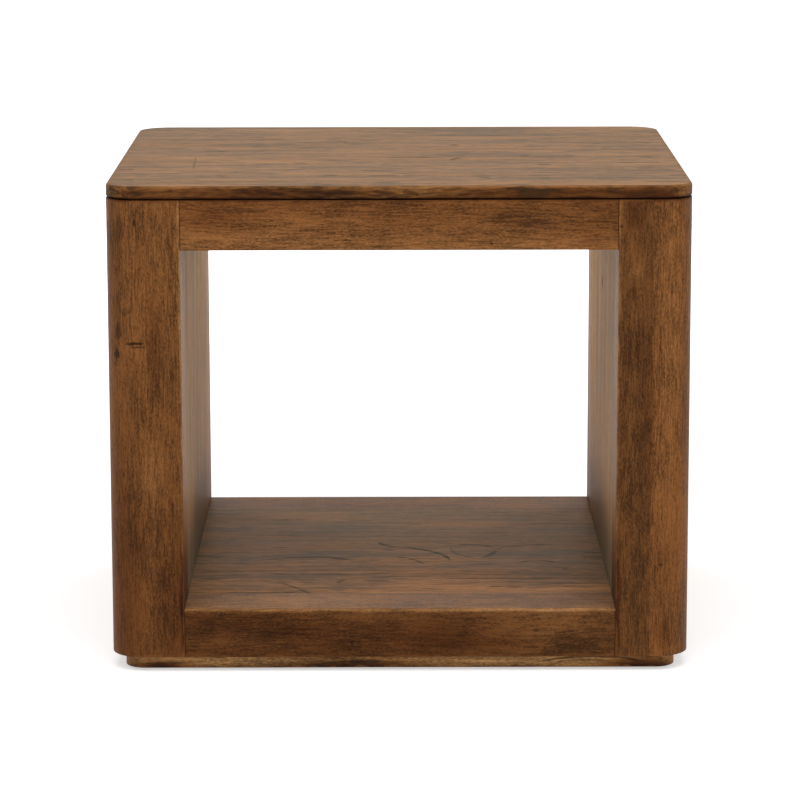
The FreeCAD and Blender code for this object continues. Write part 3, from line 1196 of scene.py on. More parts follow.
TOP_WOOD = WoodFinish(
    "top_wood", (0.184, 0.082, 0.0265), GrainRun.ACROSS, line_depth=0.10, seam=0.35, specular=0.075,
    sheen=0.51, streaks=(6.0, 95.0), dashes=(60.0, 480.0), clouds=(3.0, 24.0), flecks=(18.0, 100.0),
    fleck_depth=0.85, contrast=1.3, haze=0.09, haze_tint=(1.0, 0.80, 0.46),
)
SHELF_WOOD = replace(
    TOP_WOOD, slot="shelf_wood", base=(0.218, 0.088, 0.0250), line_depth=0.15, specular=0.060,
    flecks=(22.0, 110.0), fleck_depth=0.7, contrast=1.1, haze=0.12, haze_tint=(1.0, 0.88, 0.50),
)
POST_WOOD = WoodFinish(
    "post_wood", (0.162, 0.062, 0.0172), GrainRun.UPRIGHT, line_depth=0.08, wear=0.25, pore_depth=0.35,
    specular=0.08, streaks=(40.0, 500.0), dashes=(260.0, 900.0), contrast=1.1,
)
RAIL_WOOD = replace(
    POST_WOOD, slot="rail_wood", base=(0.160, 0.062, 0.0180), run=GrainRun.ACROSS, seam=0.8,
    specular=0.07, streaks=(36.0, 480.0),
)
OUTER_PANEL_WOOD = WoodFinish(
    "panel_wood", (0.174, 0.068, 0.019), GrainRun.UPRIGHT, line_depth=0.15, specular=0.10, sheen=0.50,
    streaks=(7.0, 140.0), dashes=(70.0, 520.0), clouds=(2.5, 28.0), contrast=0.95,
)
# Painted light: the inner panels get a much lighter copy of the outer panels' wood, for the faces inside the
# opening.
INNER_PANEL_WOOD_PAINTED_LIGHT = replace(
    OUTER_PANEL_WOOD, base=(0.304, 0.140, 0.040), specular=0.042, streaks=(5.0, 95.0), contrast=0.8,
    haze=0.12, haze_tint=(1.0, 0.88, 0.52),
)
PLINTH_WOOD = WoodFinish("plinth_wood", (0.300, 0.140, 0.045), GrainRun.ACROSS, line_depth=0.2)
BARE_WOOD = WoodFinish(
    "inner_wood", (0.36, 0.225, 0.115), GrainRun.DEPTHWISE, darkest=0.75, lightest=1.25, line_depth=0.4
)
DOWEL_WOOD = WoodFinish(
    "dowel_wood", (0.50, 0.36, 0.22), GrainRun.ACROSS, darkest=0.8, lightest=1.2, line_depth=0.2
)


@dataclass(frozen=True)
class ZincPlate:
    """The clouded zinc plating of the screws; colours are linear."""

    dull: Colour = (0.52, 0.47, 0.36, 1.0)
    bright: Colour = (0.66, 0.62, 0.52, 1.0)
    smooth: float = 0.28
    rough: float = 0.5
    bloom_scale: Triple = (600.0, 600.0, 600.0)

    def material(self) -> Material:
        """Make the plating.

        Returns:
            Its material.
        """
        coat = Coat("screw_steel zinc")
        bloom = coat.graph.noise(coat.spot, self.bloom_scale, 3.0, 0.6)
        tint = coat.graph.blend(coat.graph.remap(bloom, 0.3, 0.7), self.dull, self.bright)
        gloss = coat.graph.remap(bloom, 0.2, 0.8, self.smooth, self.rough)
        return coat.finished(Base_Color=tint, Roughness=gloss, Metallic=1.0)


@dataclass(frozen=True)
class MattedFelt:
    """The matted dark felt of the glides; colours are linear."""

    hollows: Colour = (0.018, 0.014, 0.012, 1.0)
    tips: Colour = (0.06, 0.05, 0.042, 1.0)
    roughness: float = 0.95
    fuzz: float = 0.4
    pile: float = 0.6
    pile_height: float = 0.0004
    hair_scale: Triple = (1600.0, 1600.0, 2600.0)

    def material(self) -> Material:
        """Make the felt.

        Returns:
            Its material.
        """
        coat = Coat("glide_felt matted")
        hairs = coat.graph.noise(coat.spot, self.hair_scale, 4.0, 0.75)
        tint = coat.graph.blend(coat.graph.remap(hairs, 0.3, 0.7), self.hollows, self.tips)
        normal = coat.relief(hairs, self.pile, self.pile_height)
        return coat.finished(
            Base_Color=tint, Roughness=self.roughness, Sheen_Weight=self.fuzz, Normal=normal
        )


# --------------------------------------------------------------- sub-assemblies
class End(Enum):
    """Where a piece lies from front to back."""

    FRONT = "front"
    BACK = "back"


class Side(Enum):
    """Where a piece lies from left to right."""

    LEFT = "left"
    RIGHT = "right"


class Level(Enum):
    """Whether a rail lies over the opening or under it."""

    TOP = "top"
    BOTTOM = "bottom"


class Layer(Enum):
    """Whether a stave or panel lies on the outside or towards the opening."""

    OUTER = "outer"
    INNER = "inner"


HALF_WIDTH = 0.330
CORNER_RADIUS = 0.038
FRONT = Face(Axis.Y, -0.305)
TOP = Face(Axis.Z, 0.559)
SHELF = Face(Axis.Z, 0.0742)
OPENING_SIDES = (Face(Axis.X, -0.2455), Face(Axis.X, 0.2455))
# Painted shade: every face in and beside the shadow gap under the top is darkened.
GAP_PAINTED_SHADE = Patch((0.0, 0.0, 0.544), (ALONG, ALONG, 0.0022), -2.2)


def opening_painted_light_and_shade() -> list[Mark]:
    """Return painted light and shade on both sides of the opening: painted light high up, painted shade at
    the foot by the shelf and along the corner with it.
    """
    soft_patches = (
        ((0.0, 0.470), (ALONG, 0.120), 0.50), ((-0.060, 0.085), (0.340, 0.060), -3.1),
        ((0.0, SHELF.at), (ALONG, 0.006), -1.2),
    )
    return [face.patch(*stain) for face in OPENING_SIDES for stain in soft_patches]


@dataclass
class TableTop:
    """The top: edge-glued boards with a rounded rim over a shadow gap."""

    gap_height: float = 0.002
    gap_depth: float = 0.008
    seed: float = 1.3
    seed_step: float = 2.1
    pith_swap: float = 0.03
    tones: tuple[float, ...] = (1.03, 0.98, 1.0, 1.03, 0.96)

    def marks(self) -> list[Mark]:
        """Place the top's fine checks, the stain on its front edge, a darker edge all round, and the gap's
        painted shade.

        Returns:
            The marks.
        """
        checks = (
            ((-0.242, 0.032), (-0.168, 0.036), 0.35), ((-0.222, 0.033), (-0.191, 0.036), 0.6),
            ((-0.081, 0.140), (-0.061, 0.124), 0.5), ((-0.212, -0.206), (-0.198, -0.214), 0.4),
            ((-0.089, -0.218), (-0.068, -0.206), 0.4), ((-0.038, -0.217), (0.004, -0.212), 0.35),
            ((-0.123, -0.100), (-0.106, -0.095), 0.35), ((-0.022, -0.034), (0.045, -0.035), 0.4),
            ((0.060, -0.062), (0.075, -0.036), 0.45), ((0.092, -0.228), (0.105, -0.245), 0.45),
            ((0.001, -0.216), (0.048, -0.205), 0.35), ((0.160, -0.107), (0.179, -0.108), 0.45),
            ((0.145, -0.025), (0.157, -0.019), 0.4), ((0.197, -0.014), (0.208, -0.030), 0.45),
            ((0.248, -0.093), (0.315, -0.091), 0.35), ((0.284, -0.030), (0.302, -0.038), 0.4),
            ((0.246, 0.057), (0.263, 0.063), 0.4), ((0.062, 0.100), (0.072, 0.088), 0.4),
            ((-0.325, -0.148), (-0.305, -0.148), 0.45), ((-0.302, -0.214), (-0.288, -0.215), 0.4),
            ((0.159, -0.243), (0.171, -0.248), 0.4), ((-0.264, 0.155), (-0.125, 0.160), 0.3),
            ((0.028, 0.200), (0.156, 0.192), 0.3), ((-0.312, -0.254), (-0.299, -0.252), 0.4),
        )
        flames = (
            ((-0.190, 0.555), (-0.155, 0.548), 0.35), ((-0.166, 0.555), (-0.122, 0.548), 0.45),
            ((-0.104, 0.555), (-0.072, 0.550), 0.4), ((-0.085, 0.549), (-0.050, 0.551), 0.3),
            ((0.002, 0.554), (0.024, 0.549), 0.4), ((0.086, 0.554), (0.108, 0.549), 0.35),
            ((0.122, 0.550), (0.142, 0.553), 0.35), ((0.168, 0.554), (0.190, 0.549), 0.35),
            ((0.228, 0.553), (0.262, 0.549), 0.4), ((0.250, 0.549), (0.292, 0.552), 0.4),
            ((-0.322, 0.553), (-0.286, 0.550), 0.3), ((0.300, 0.553), (0.318, 0.549), 0.3),
        )
        edge_stains = (
            (0.285, 0.050, -0.85), (0.165, 0.070, -0.42), (0.010, 0.060, 0.88), (-0.160, 0.050, -0.45)
        )
        rims = ((0.0, FRONT.at), (0.0, -FRONT.at), (HALF_WIDTH, 0.0), (-HALF_WIDTH, 0.0))
        found: list[Mark] = [
            *(TOP.line(start, end, 0.003, min(1.6 * dark, 0.9), 0.0055) for start, end, dark in checks),
            *(FRONT.line(start, end, 0.0, dark, 0.0032) for start, end, dark in flames),
            TOP.line((-0.242, -0.009), (-0.238, -0.149), 0.0, 0.5, 0.0016),
            TOP.knot((0.101, -0.236), (0.006, 0.004), 0.4),
            TOP.knot((0.300, 0.210), (0.008, 0.010), 0.35),
            TOP.patch((-0.305, -0.05), (0.04, 0.20), -0.18),
            TOP.patch((0.0, 0.06), (0.30, 0.12), -0.12),
            *(FRONT.patch((x, 0.549), (half, 0.012), amount, 0.006) for x, half, amount in edge_stains),
            GAP_PAINTED_SHADE,
        ]
        # The slab's edge made darker all round, deepest at its lower edge by the gap.
        for rim in rims:
            reach = tuple(0.006 if across else ALONG for across in rim)
            for z, tall, amount in ((0.545, 0.011, -0.86), (0.5525, 0.0045, -0.55)):
                found.append(Patch((*rim, z), (*reach, tall), amount))
        return found

    def slab_and_core(self, node: str, first: bool, last: bool) -> tuple[Piece, Piece]:
        """Build one board as an upper slab and the core under it, which leaves the gap.

        Args:
            node: the board's CAD node.
            first: whether it is the board at the front.
            last: whether it is the board at the back.

        Returns:
            The slab and the core.
        """
        low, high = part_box(node)
        free_sides = (first, True, last, True)
        free_corners = (first, first, last, last)
        slab = Board(
            f"{node}_face", Vector((low.x, low.y, low.z + self.gap_height)), high, Axis.Z,
            tuple(CORNER_RADIUS if free else Arris.GLUED.value for free in free_corners),
            low_end=tuple(Arris.EASED if free else Arris.GLUED for free in free_sides),
            high_end=tuple(Arris.TOP_RIM if free else Arris.GLUED for free in free_sides),
        )
        core_low = low + Vector((self.gap_depth, first * self.gap_depth, 0.0))
        core_high = Vector((high.x, high.y, low.z + self.gap_height + Arris.EASED.value))
        core_high -= Vector((self.gap_depth, last * self.gap_depth, 0.0))
        core_radius = CORNER_RADIUS - self.gap_depth
        core = Board(
            f"{node}_core", core_low, core_high, Axis.Z,
            tuple(core_radius if free else Arris.GLUED.value for free in free_corners),
        )
        return slab.build(), core.build()

    def build(self) -> None:
        """Build and dress every board."""
        nodes = [f"top_board_{count}" for count in range(1, len(self.tones) + 1)]
        whole = span(nodes)
        marks = self.marks()
        for count, (node, tone) in enumerate(zip(nodes, self.tones), start=1):
            slab, core = self.slab_and_core(node, node == nodes[0], node == nodes[-1])
            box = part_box(node)
            material = TOP_WOOD.material(
                node, seed=self.seed + self.seed_step * count, tone=tone, board=box, worn_box=whole,
                seam_box=stretched(box, Axis.X), pith=(0.0, self.pith_swap * (-1) ** count, -0.09),
                marks=marks,
            )
            core.data.materials.append(material)
            core.parent = slab
            dress(slab, node, TOP_WOOD.slot, material)


@dataclass
class Posts:
    """Four posts, each glued from an outer stave with the round corner and an inner stave."""

    seed: float = 20.0
    seed_step: float = 3.3
    pith: Triple = (0.0, 0.02, 0.07)
    stain_depth: float = 0.03
    turned_height: float = 0.58
    tones: tuple[float, ...] = (0.98, 0.92, 1.12, 0.74, 0.95, 1.05, 1.05, 0.85)

    @staticmethod
    def front_at(x: float) -> Face:
        """Return the front of a post at a place, also where its outer corner is round."""
        return Face(Axis.Y, FRONT.at + setback(CORNER_RADIUS, HALF_WIDTH - abs(x)))

    def turned(self, mark: Mark) -> Mark:
        """Return a mark of the front turned upside down on the back."""
        x, y, z = mark.centre
        return replace(mark, centre=(-x, -y, self.turned_height - z))

    def marks(self) -> list[Mark]:
        """Place the posts' knots and stain, turned ones at the back, and painted light and shade in the
        opening and the gap.

        Returns:
            The marks.
        """
        knots = (
            ((-0.300, 0.381), (0.013, 0.0022), 0.85), ((-0.296, 0.377), (0.011, 0.0016), 0.6),
            ((-0.3185, 0.368), (0.005, 0.007), 0.8), ((-0.3165, 0.394), (0.006, 0.011), 0.55),
            ((-0.308, 0.417), (0.006, 0.005), 0.3), ((-0.296, 0.518), (0.0015, 0.005), 0.75),
            ((-0.313, 0.512), (0.007, 0.020), 0.45), ((-0.315, 0.462), (0.007, 0.010), 0.35),
            ((-0.252, 0.5115), (0.0009, 0.0011), 0.9), ((-0.252, 0.505), (0.0008, 0.0010), 0.9),
            ((0.249, 0.513), (0.0022, 0.0022), 0.7), ((0.296, 0.125), (0.0035, 0.0018), 0.6),
        )
        soft_patches = (
            ((-0.310, 0.10), (0.024, 0.17), -0.75), ((-0.258, 0.07), (0.022, 0.12), -0.65),
            ((-0.275, 0.375), (0.008, 0.06), -0.45), ((-0.290, 0.230), (0.020, 0.035), 0.30),
            ((-0.266, 0.480), (0.016, 0.05), 0.20), ((0.265, 0.530), (0.013, 0.022), -0.60),
            ((0.279, 0.310), (0.009, 0.10), -0.30), ((0.267, 0.462), (0.007, 0.008), 0.40),
            ((0.300, 0.046), (0.010, 0.014), -0.60), ((0.305, 0.380), (0.016, 0.12), 0.20),
            ((0.300, 0.120), (0.020, 0.10), -0.15),
        )
        front: list[Mark] = [
            *(self.front_at(at[0]).knot(at, size, dark) for at, size, dark in knots),
            *(self.front_at(at[0]).patch(at, size, amount, self.stain_depth) for at, size, amount in soft_patches),
        ]
        # Painted light: the posts' faces inside the opening made paler, to match the inner panels.
        inside = [
            face.patch((y, 0.320), (0.060, 0.500), 1.15, 0.0015)
            for face in OPENING_SIDES
            for y in (-0.267, 0.267)
        ]
        return [*front, *(self.turned(mark) for mark in front), *inside, *opening_painted_light_and_shade(), GAP_PAINTED_SHADE]

    def build(self) -> None:
        """Build and dress both staves of every post."""
        seed = self.seed
        marks = self.marks()
        for (end, side, layer), tone in zip(product(End, Side, Layer), self.tones):
            seed += self.seed_step
            post = f"post_{end.value}_{side.value}"
            node = f"{post}_{layer.value}"
            whole = span(f"{post}_{each.value}" for each in Layer)
            radii = self.radii(end, side, layer)
            stave = Board(f"{node}_stave", *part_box(node), Axis.Z, radii, EASED_ALL, EASED_ALL)
            POST_WOOD.lay_on(stave, node, seed, tone=tone, worn_box=whole, pith=self.pith, marks=marks)

    @staticmethod
    def radii(end: End, side: Side, layer: Layer) -> Radii:
        """Choose the corner radii of one stave.

        Args:
            end: the end that its post stands at.
            side: the side that its post stands on.
            layer: the outer stave or the inner one.

        Returns:
            The radii, from (left, front) round to (left, back).
        """
        radii = list(GLUED_CORNERS)
        left, right = (0, 1) if end is End.FRONT else (3, 2)
        outer, inner = (left, right) if side is Side.LEFT else (right, left)
        if layer is Layer.OUTER:
            radii[outer] = CORNER_RADIUS
        else:
            radii[inner] = Arris.EASED.value
        return tuple(radii)


@dataclass
class Rails:
    """Top and bottom rails at the front and the back."""

    well_radius: float = 0.0041
    well_depth: float = 0.028
    well_sides: int = 32
    screw_spacing: float = 0.02
    seed: float = 50.0
    seed_step: float = 4.7
    pith: Triple = (0.0, 0.06, -0.03)
    tones: tuple[float, ...] = (1.0, 0.9, 0.73, 0.85)

    def marks(self) -> list[Mark]:
        """Place the rails' knots, nail holes and stain, painted shade by the gap, painted light on the
        bottom rails' upper faces and a painted highlight on the shelf lip.

        Returns:
            The marks.
        """
        nail_holes = ((-0.0008, 0.5382), (0.0, 0.5330), (-0.0008, 0.5295), (0.0, 0.5250))
        knots = (
            ((0.103, 0.494), (0.003, 0.0016), 0.8), ((-0.174, 0.532), (0.034, 0.003), 0.30),
            ((-0.055, 0.034), (0.002, 0.0035), 0.7), ((0.155, 0.048), (0.006, 0.0018), 0.6),
        )
        bands = ((0.545, 0.020, -0.25), (0.490, 0.018, 0.32))
        soft_patches = (
            ((-0.205, 0.522), (0.040, 0.014), -0.40), ((-0.125, 0.510), (0.070, 0.016), 0.20),
            ((0.235, 0.515), (0.040, 0.040), -0.30), ((-0.175, 0.066), (0.050, 0.012), -0.35),
            ((0.046, 0.043), (0.042, 0.022), -0.40), ((-0.231, 0.068), (0.018, 0.016), -0.40),
            ((0.175, 0.045), (0.090, 0.040), 0.62), ((-0.120, 0.048), (0.035, 0.008), -0.35),
            ((0.105, 0.035), (0.045, 0.007), -0.35), ((-0.010, 0.064), (0.060, 0.006), 0.25),
            # The last patch darkens the front bottom rail's face: darker wood, and partly painted shade low
            # down.
            ((-0.190, 0.036), (0.060, 0.009), 0.25), ((0.0, 0.035), (ALONG, 0.042), -0.50),
        )
        return [
            *(FRONT.knot(at, (0.0009, 0.0008), 0.9) for at in nail_holes),
            *(FRONT.knot(*knot) for knot in knots),
            FRONT.line((0.094, 0.501), (0.122, 0.494), 0.010, 0.3, 0.0012),
            FRONT.line((0.090, 0.506), (0.132, 0.496), 0.012, 0.25, 0.0012),
            # Painted shade high on the front top rail by the gap, and a paler band low on it.
            *(FRONT.patch((0.0, z), (ALONG, tall), amount, 0.02) for z, tall, amount in bands),
            *(FRONT.patch(*stain) for stain in soft_patches),
            # Painted light: the bottom rails' upper faces made paler like the shelf; then a painted
            # highlight along the shelf lip.
            Patch((0.0, FRONT.at, SHELF.at), (ALONG, 0.15, SKIN), 0.88),
            Patch((0.0, -0.304, 0.0735), (ALONG, 0.0025, 0.0025), 0.45),
            Patch((0.0, -FRONT.at, SHELF.at), (ALONG, 0.15, SKIN), 0.95),
            GAP_PAINTED_SHADE,
        ]

    def build(self) -> None:
        """Build and dress the four rails."""
        marks = self.marks()
        for count, ((level, end), tone) in enumerate(zip(product(Level, End), self.tones)):
            node = f"{level.value}_rail_{end.value}"
            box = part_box(node)
            piece = RAIL_WOOD.lay_on(
                Board(f"{node}_beam", *box, Axis.X, self.radii(level, end)), node,
                seed=self.seed + self.seed_step * count, tone=tone, worn_box=stretched(box, Axis.X),
                seam_box=stretched(box, Axis.Z), pith=self.pith, marks=marks,
            )
            if level is Level.TOP:
                self.cut_wells(piece, *box)

    @staticmethod
    def radii(level: Level, end: End) -> Radii:
        """Choose the corner radii of one rail.

        Args:
            level: over the opening or under it.
            end: the end that the rail lies at.

        Returns:
            The radii, from (front, low) round to (front, high).
        """
        glued, eased, lip = Arris.GLUED.value, Arris.EASED.value, Arris.SHELF_LIP.value
        if level is Level.TOP:
            return eased, eased, glued, glued
        return (eased, glued, glued, lip) if end is End.FRONT else (glued, eased, lip, glued)

    def cut_wells(self, piece: Piece, low: Vector, high: Vector) -> None:
        """Cut the wells that the top's screws go up through from below.

        Args:
            piece: the rail.
            low: its low corner.
            high: its high corner.
        """
        for x in self.screw_places(low, high):
            bpy.ops.mesh.primitive_cylinder_add(
                vertices=self.well_sides, radius=self.well_radius, depth=2 * self.well_depth,
                location=(x, (low.y + high.y) / 2, low.z),
            )
            cutter = bpy.context.object
            cut = piece.modifiers.new("Well", "BOOLEAN")
            cut.object = cutter
            apply_modifier(piece, cut)
            bpy.data.objects.remove(cutter)

    def screw_places(self, low: Vector, high: Vector) -> list[float]:
        """Read from the screws' own node where they stand along a top rail.

        Args:
            low: the rail's low corner.
            high: the rail's high corner.

        Returns:
            The middle of each screw, from left to right.
        """
        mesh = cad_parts["top_rail_screws"].data
        groups: list[list[float]] = []
        for x in sorted(vertex.co.x for vertex in mesh.vertices if low.y < vertex.co.y < high.y):
            if not groups or x - groups[-1][-1] > self.screw_spacing:
                groups.append([])
            groups[-1].append(x)
        return [(group[0] + group[-1]) / 2 for group in groups]


def apply_modifier(piece: Piece, modifier: bpy.types.Modifier) -> None:
    """Apply one modifier to a piece's mesh, with the others left as they are.

    Args:
        piece: the piece.
        modifier: the modifier, which is removed.
    """
    for other in piece.modifiers:
        other.show_viewport = other == modifier
    evaluated = piece.evaluated_get(bpy.context.evaluated_depsgraph_get())
    data = bpy.data.meshes.new_from_object(evaluated)
    piece.modifiers.remove(modifier)
    mesh = bmesh.new()
    mesh.from_mesh(data)
    write_smooth(mesh, data)
    piece.data = data
    for other in piece.modifiers:
        other.show_viewport = True


@dataclass
class SideWalls:
    """Hollow side walls: inner and outer panels of upright boards on a hidden core."""

    board_count: int = 3
    seed: float = 80.0
    seed_step: float = 2.9
    core_seed: float = 120.0
    pith: Triple = (0.0, 0.08, 0.02)
    core_parts: tuple[str, ...] = ("wall_rail_top", "wall_rail_bottom", "wall_stud")
    tones: tuple[float, ...] = (0.99, 0.95, 1.04, 0.94, 1.06, 0.98, 0.99, 0.96, 1.05, 0.92, 1.08, 1.0)

    def marks(self) -> list[Mark]:
        """Place a knot and two checks on three of the walls' faces.

        Returns:
            The marks.
        """
        places = (
            (OPENING_SIDES[1].at, 0.0, 0.402), (-HALF_WIDTH, 0.080, 0.330), (HALF_WIDTH, -0.090, 0.210)
        )
        found: list[Mark] = []
        for x, y, z in places:
            face = Face(Axis.X, x)
            found.append(face.knot((y, z), (0.010, 0.010), 0.85))
            for way in (-1, 1):
                start, end = (y + 0.009 * way, z - 0.060), (y + 0.012 * way, z + 0.070)
                found.append(face.line(start, end, 0.0, 0.4, 0.003))
        # The opening's painted light and shade, and the gap's painted shade, join the knots and checks.
        return [*found, *opening_painted_light_and_shade(), GAP_PAINTED_SHADE]

    def build(self) -> None:
        """Build and dress every panel board, and dress the core."""
        boards = product(Side, (Layer.INNER, Layer.OUTER), range(1, self.board_count + 1))
        marks = self.marks()
        for index, ((side, layer, count), tone) in enumerate(zip(boards, self.tones)):
            board, node = self.panel_board(side, layer, count)
            finish = INNER_PANEL_WOOD_PAINTED_LIGHT if layer is Layer.INNER else OUTER_PANEL_WOOD
            finish.lay_on(
                board, node, seed=self.seed + self.seed_step * index, tone=tone,
                seam_box=stretched((board.low, board.high), Axis.Z), pith=self.pith, marks=marks,
            )
        core = BARE_WOOD.material("wall core", seed=self.core_seed)
        for side, part in product(Side, self.core_parts):
            dress_cad(f"{side.value}_{part}", core)

    def panel_board(self, side: Side, layer: Layer, count: int) -> tuple[Board, str]:
        """Shape one board of a panel, without the tongue that is hidden in the post.

        Args:
            side: the wall's side.
            layer: its inner or outer panel.
            count: the board's number from the front.

        Returns:
            The board and its CAD node.
        """
        node = f"{side.value}_{layer.value}_panel_{count}"
        low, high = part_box(node)
        if count == 1:
            low.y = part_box(f"post_front_{side.value}_{layer.value}")[1].y
        if count == self.board_count:
            high.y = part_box(f"post_back_{side.value}_{layer.value}")[0].y
        return Board(f"{node}_board", low, high, Axis.Z, GLUED_CORNERS), node


@dataclass
class Shelf:
    """The shelf: edge-glued boards on cleats and a batten."""

    seed: float = 130.0
    seed_step: float = 5.3
    carrier_seed: float = 160.0
    pith: Triple = (0.0, 0.02, -0.1)
    tones: tuple[float, ...] = (1.06, 0.98, 0.95, 1.0)
    carriers: tuple[str, ...] = (
        "shelf_cleat_left", "shelf_cleat_right", "shelf_batten", "top_batten_left", "top_batten_right"
    )

    def marks(self) -> list[Mark]:
        """Place the shelf's growth lines, its darker and warmer stain, painted light at its back and painted
        shade along its ends.

        The board with the most marks is close to all that one material can hold, so a mark or a
        layer that is added here takes the place of another.

        Returns:
            The marks.
        """
        pointed_arch = (
            ((-0.180, -0.069), (-0.046, -0.065), 0.021, 0.75),
            ((-0.010, -0.040), (0.030, -0.085), 0.011, 0.6),
            ((-0.242, -0.122), (-0.177, -0.122), 0.005, 0.45),
            ((-0.183, -0.122), (0.036, -0.108), -0.022, 0.5),
        )
        slanting = (
            ((-0.027, 0.037), (0.001, 0.007), -0.008, 0.8), ((-0.005, 0.011), (0.062, -0.071), 0.028, 0.8),
            ((-0.145, -0.170), (-0.085, -0.267), 0.007, 0.5),
            ((-0.200, -0.248), (-0.156, -0.267), 0.007, 0.45),
        )
        eye = (
            ((0.066, 0.020), (0.117, 0.004), 0.010, 0.6), ((0.119, -0.006), (0.095, -0.056), -0.009, 0.65),
            ((0.064, 0.012), (0.098, -0.054), -0.030, 0.4), ((0.117, -0.001), (0.198, 0.019), 0.010, 0.45),
            ((0.108, 0.002), (0.128, -0.004), 0.0, 0.6),
        )
        streaks = (
            ((-0.242, -0.165), (-0.209, -0.156), 0.0, 0.5), ((-0.073, -0.181), (-0.062, -0.157), 0.005, 0.5),
            ((-0.066, -0.159), (0.083, -0.149), 0.008, 0.4), ((-0.169, -0.170), (-0.134, -0.161), 0.0, 0.4),
            ((-0.230, -0.225), (-0.108, -0.222), -0.002, 0.65),
            ((-0.092, -0.238), (-0.034, -0.236), 0.0, 0.5),
            ((-0.187, -0.280), (-0.173, -0.280), 0.0, 0.4), ((0.194, -0.012), (0.227, -0.010), 0.0, 0.45),
            ((0.141, -0.077), (0.190, -0.077), 0.012, 0.8), ((0.195, -0.102), (0.220, -0.124), -0.010, 0.45),
            ((0.020, -0.191), (0.234, -0.188), 0.012, 0.35), ((0.100, -0.196), (0.155, -0.197), 0.0, 0.5),
            ((0.090, -0.269), (0.230, -0.252), 0.004, 0.3), ((0.036, -0.157), (0.260, -0.158), 0.0, 0.5),
            ((-0.260, -0.038), (-0.200, -0.038), 0.0, 0.4), ((0.222, -0.022), (0.250, -0.026), 0.0, 0.5),
            ((0.218, -0.046), (0.250, -0.050), 0.0, 0.5),
        )
        soft_patches = (
            # Besides stain: paler towards the front, painted light at the back, and painted shade along both
            # ends where the shelf meets the walls.
            ((0.130, -0.132), (0.110, 0.024), -0.35), ((0.0, -0.250), (0.40, 0.070), 0.20),
            ((0.0, 0.285), (0.40, 0.045), 0.45), ((-0.02, -0.055), (0.20, 0.035), 0.25),
            ((-0.247, 0.0), (0.014, 0.24), -0.55), ((0.247, 0.0), (0.014, 0.24), -0.55),
        )
        lines = pointed_arch + slanting + eye + streaks
        return [
            *(SHELF.line(start, end, bow, min(1.2 * dark, 0.95), 0.0042) for start, end, bow, dark in lines),
            *(SHELF.patch(*stain) for stain in soft_patches),
        ]

    def build(self) -> None:
        """Build and dress the boards, and dress what carries them."""
        marks = self.marks()
        for count, tone in enumerate(self.tones, start=1):
            node = f"shelf_board_{count}"
            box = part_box(node)
            SHELF_WOOD.lay_on(
                Board(f"{node}_board", *box, Axis.X, GLUED_CORNERS), node,
                seed=self.seed + self.seed_step * count, tone=tone, seam_box=stretched(box, Axis.Z),
                pith=self.pith, marks=marks,
            )
        carrier = BARE_WOOD.material("shelf and top carriers", seed=self.carrier_seed)
        for node in self.carriers:
            dress_cad(node, carrier)


@dataclass
class Plinth:
    """The set-back base frame and the felt glides under it."""

    seed: float = 170.0
    seed_step: float = 3.9
    pith: Triple = (0.0, 0.05, 0.06)
    front: Face = Face(Axis.Y, -0.2905)
    back: Face = Face(Axis.Y, 0.2905)
    left: Face = Face(Axis.X, -0.3155)
    right: Face = Face(Axis.X, 0.3155)
    # Just under half the width, so that the four quarter arcs of a round pad keep apart.
    roundness: float = 0.4999

    def marks(self) -> list[Mark]:
        """Place the plinth's paler band, dark patches low down near the floor, and a painted contact shadow
        along its foot.

        Returns:
            The marks.
        """
        soft_patches = (
            ((0.0, 0.009), (ALONG, 0.020), 0.60), ((-0.275, 0.003), (0.032, 0.006), -3.0),
            ((-0.050, 0.001), (0.062, 0.0085), -3.4), ((0.277, 0.003), (0.038, 0.009), -3.4),
        )
        return [
            *(self.front.patch(*stain) for stain in soft_patches),
            # Painted shadow: the lowest few millimetres of every side darkened where the plinth meets the
            # floor.
            Patch((0.0, 0.0, 0.001), (ALONG, ALONG, 0.0025), -1.3),
            self.front.line((-0.120, 0.001), (-0.010, 0.009), 0.003, 0.6, 0.003),
            self.front.line((0.140, 0.003), (0.290, 0.006), 0.010, 0.7, 0.002),
            self.front.line((0.160, 0.001), (0.260, 0.002), 0.009, 0.5, 0.002),
            self.back.knot((0.100, 0.004), (0.060, 0.006), 0.7),
            self.left.knot((0.080, 0.004), (0.060, 0.006), 0.7),
            self.right.knot((-0.120, 0.004), (0.060, 0.006), 0.7),
        ]

    def build(self) -> None:
        """Dress the plinth's rails and build the glides."""
        nodes = [f"plinth_{where.value}" for where in (*End, *Side)]
        whole = span(nodes)
        marks = self.marks()
        for count, node in enumerate(nodes):
            material = PLINTH_WOOD.material(
                node, seed=self.seed + self.seed_step * count, board=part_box(node), worn_box=whole,
                pith=self.pith, marks=marks,
            )
            dress_cad(node, material)
        felt = MattedFelt().material()
        for end, side in product(End, Side):
            self.build_glide(f"glide_{end.value}_{side.value}", felt)

    def build_glide(self, node: str, felt: Material) -> None:
        """Build one round felt pad with a soft edge.

        Args:
            node: its CAD node.
            felt: its material.
        """
        low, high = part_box(node)
        radius = self.roundness * (high.x - low.x)
        dress(Board(f"{node}_pad", low, high, Axis.Z, (radius,) * 4).build(), node, "glide_felt", felt)


@dataclass(frozen=True)
class Fixings:
    """The dowels and the screws, which keep their CAD shapes."""

    dowel_seed: float = 200.0
    dowels: tuple[str, ...] = ("rail_dowels", "wall_dowels")
    screws: tuple[str, ...] = (
        "top_rail_screws", "top_batten_screws", "shelf_screws", "cleat_screws", "plinth_screws"
    )

    def build(self) -> None:
        """Dress the dowels and the screws."""
        beech = DOWEL_WOOD.material("dowels", seed=self.dowel_seed)
        zinc = ZincPlate().material()
        for node in self.dowels:
            dress_cad(node, beech)
        for node in self.screws:
            dress_cad(node, zinc)


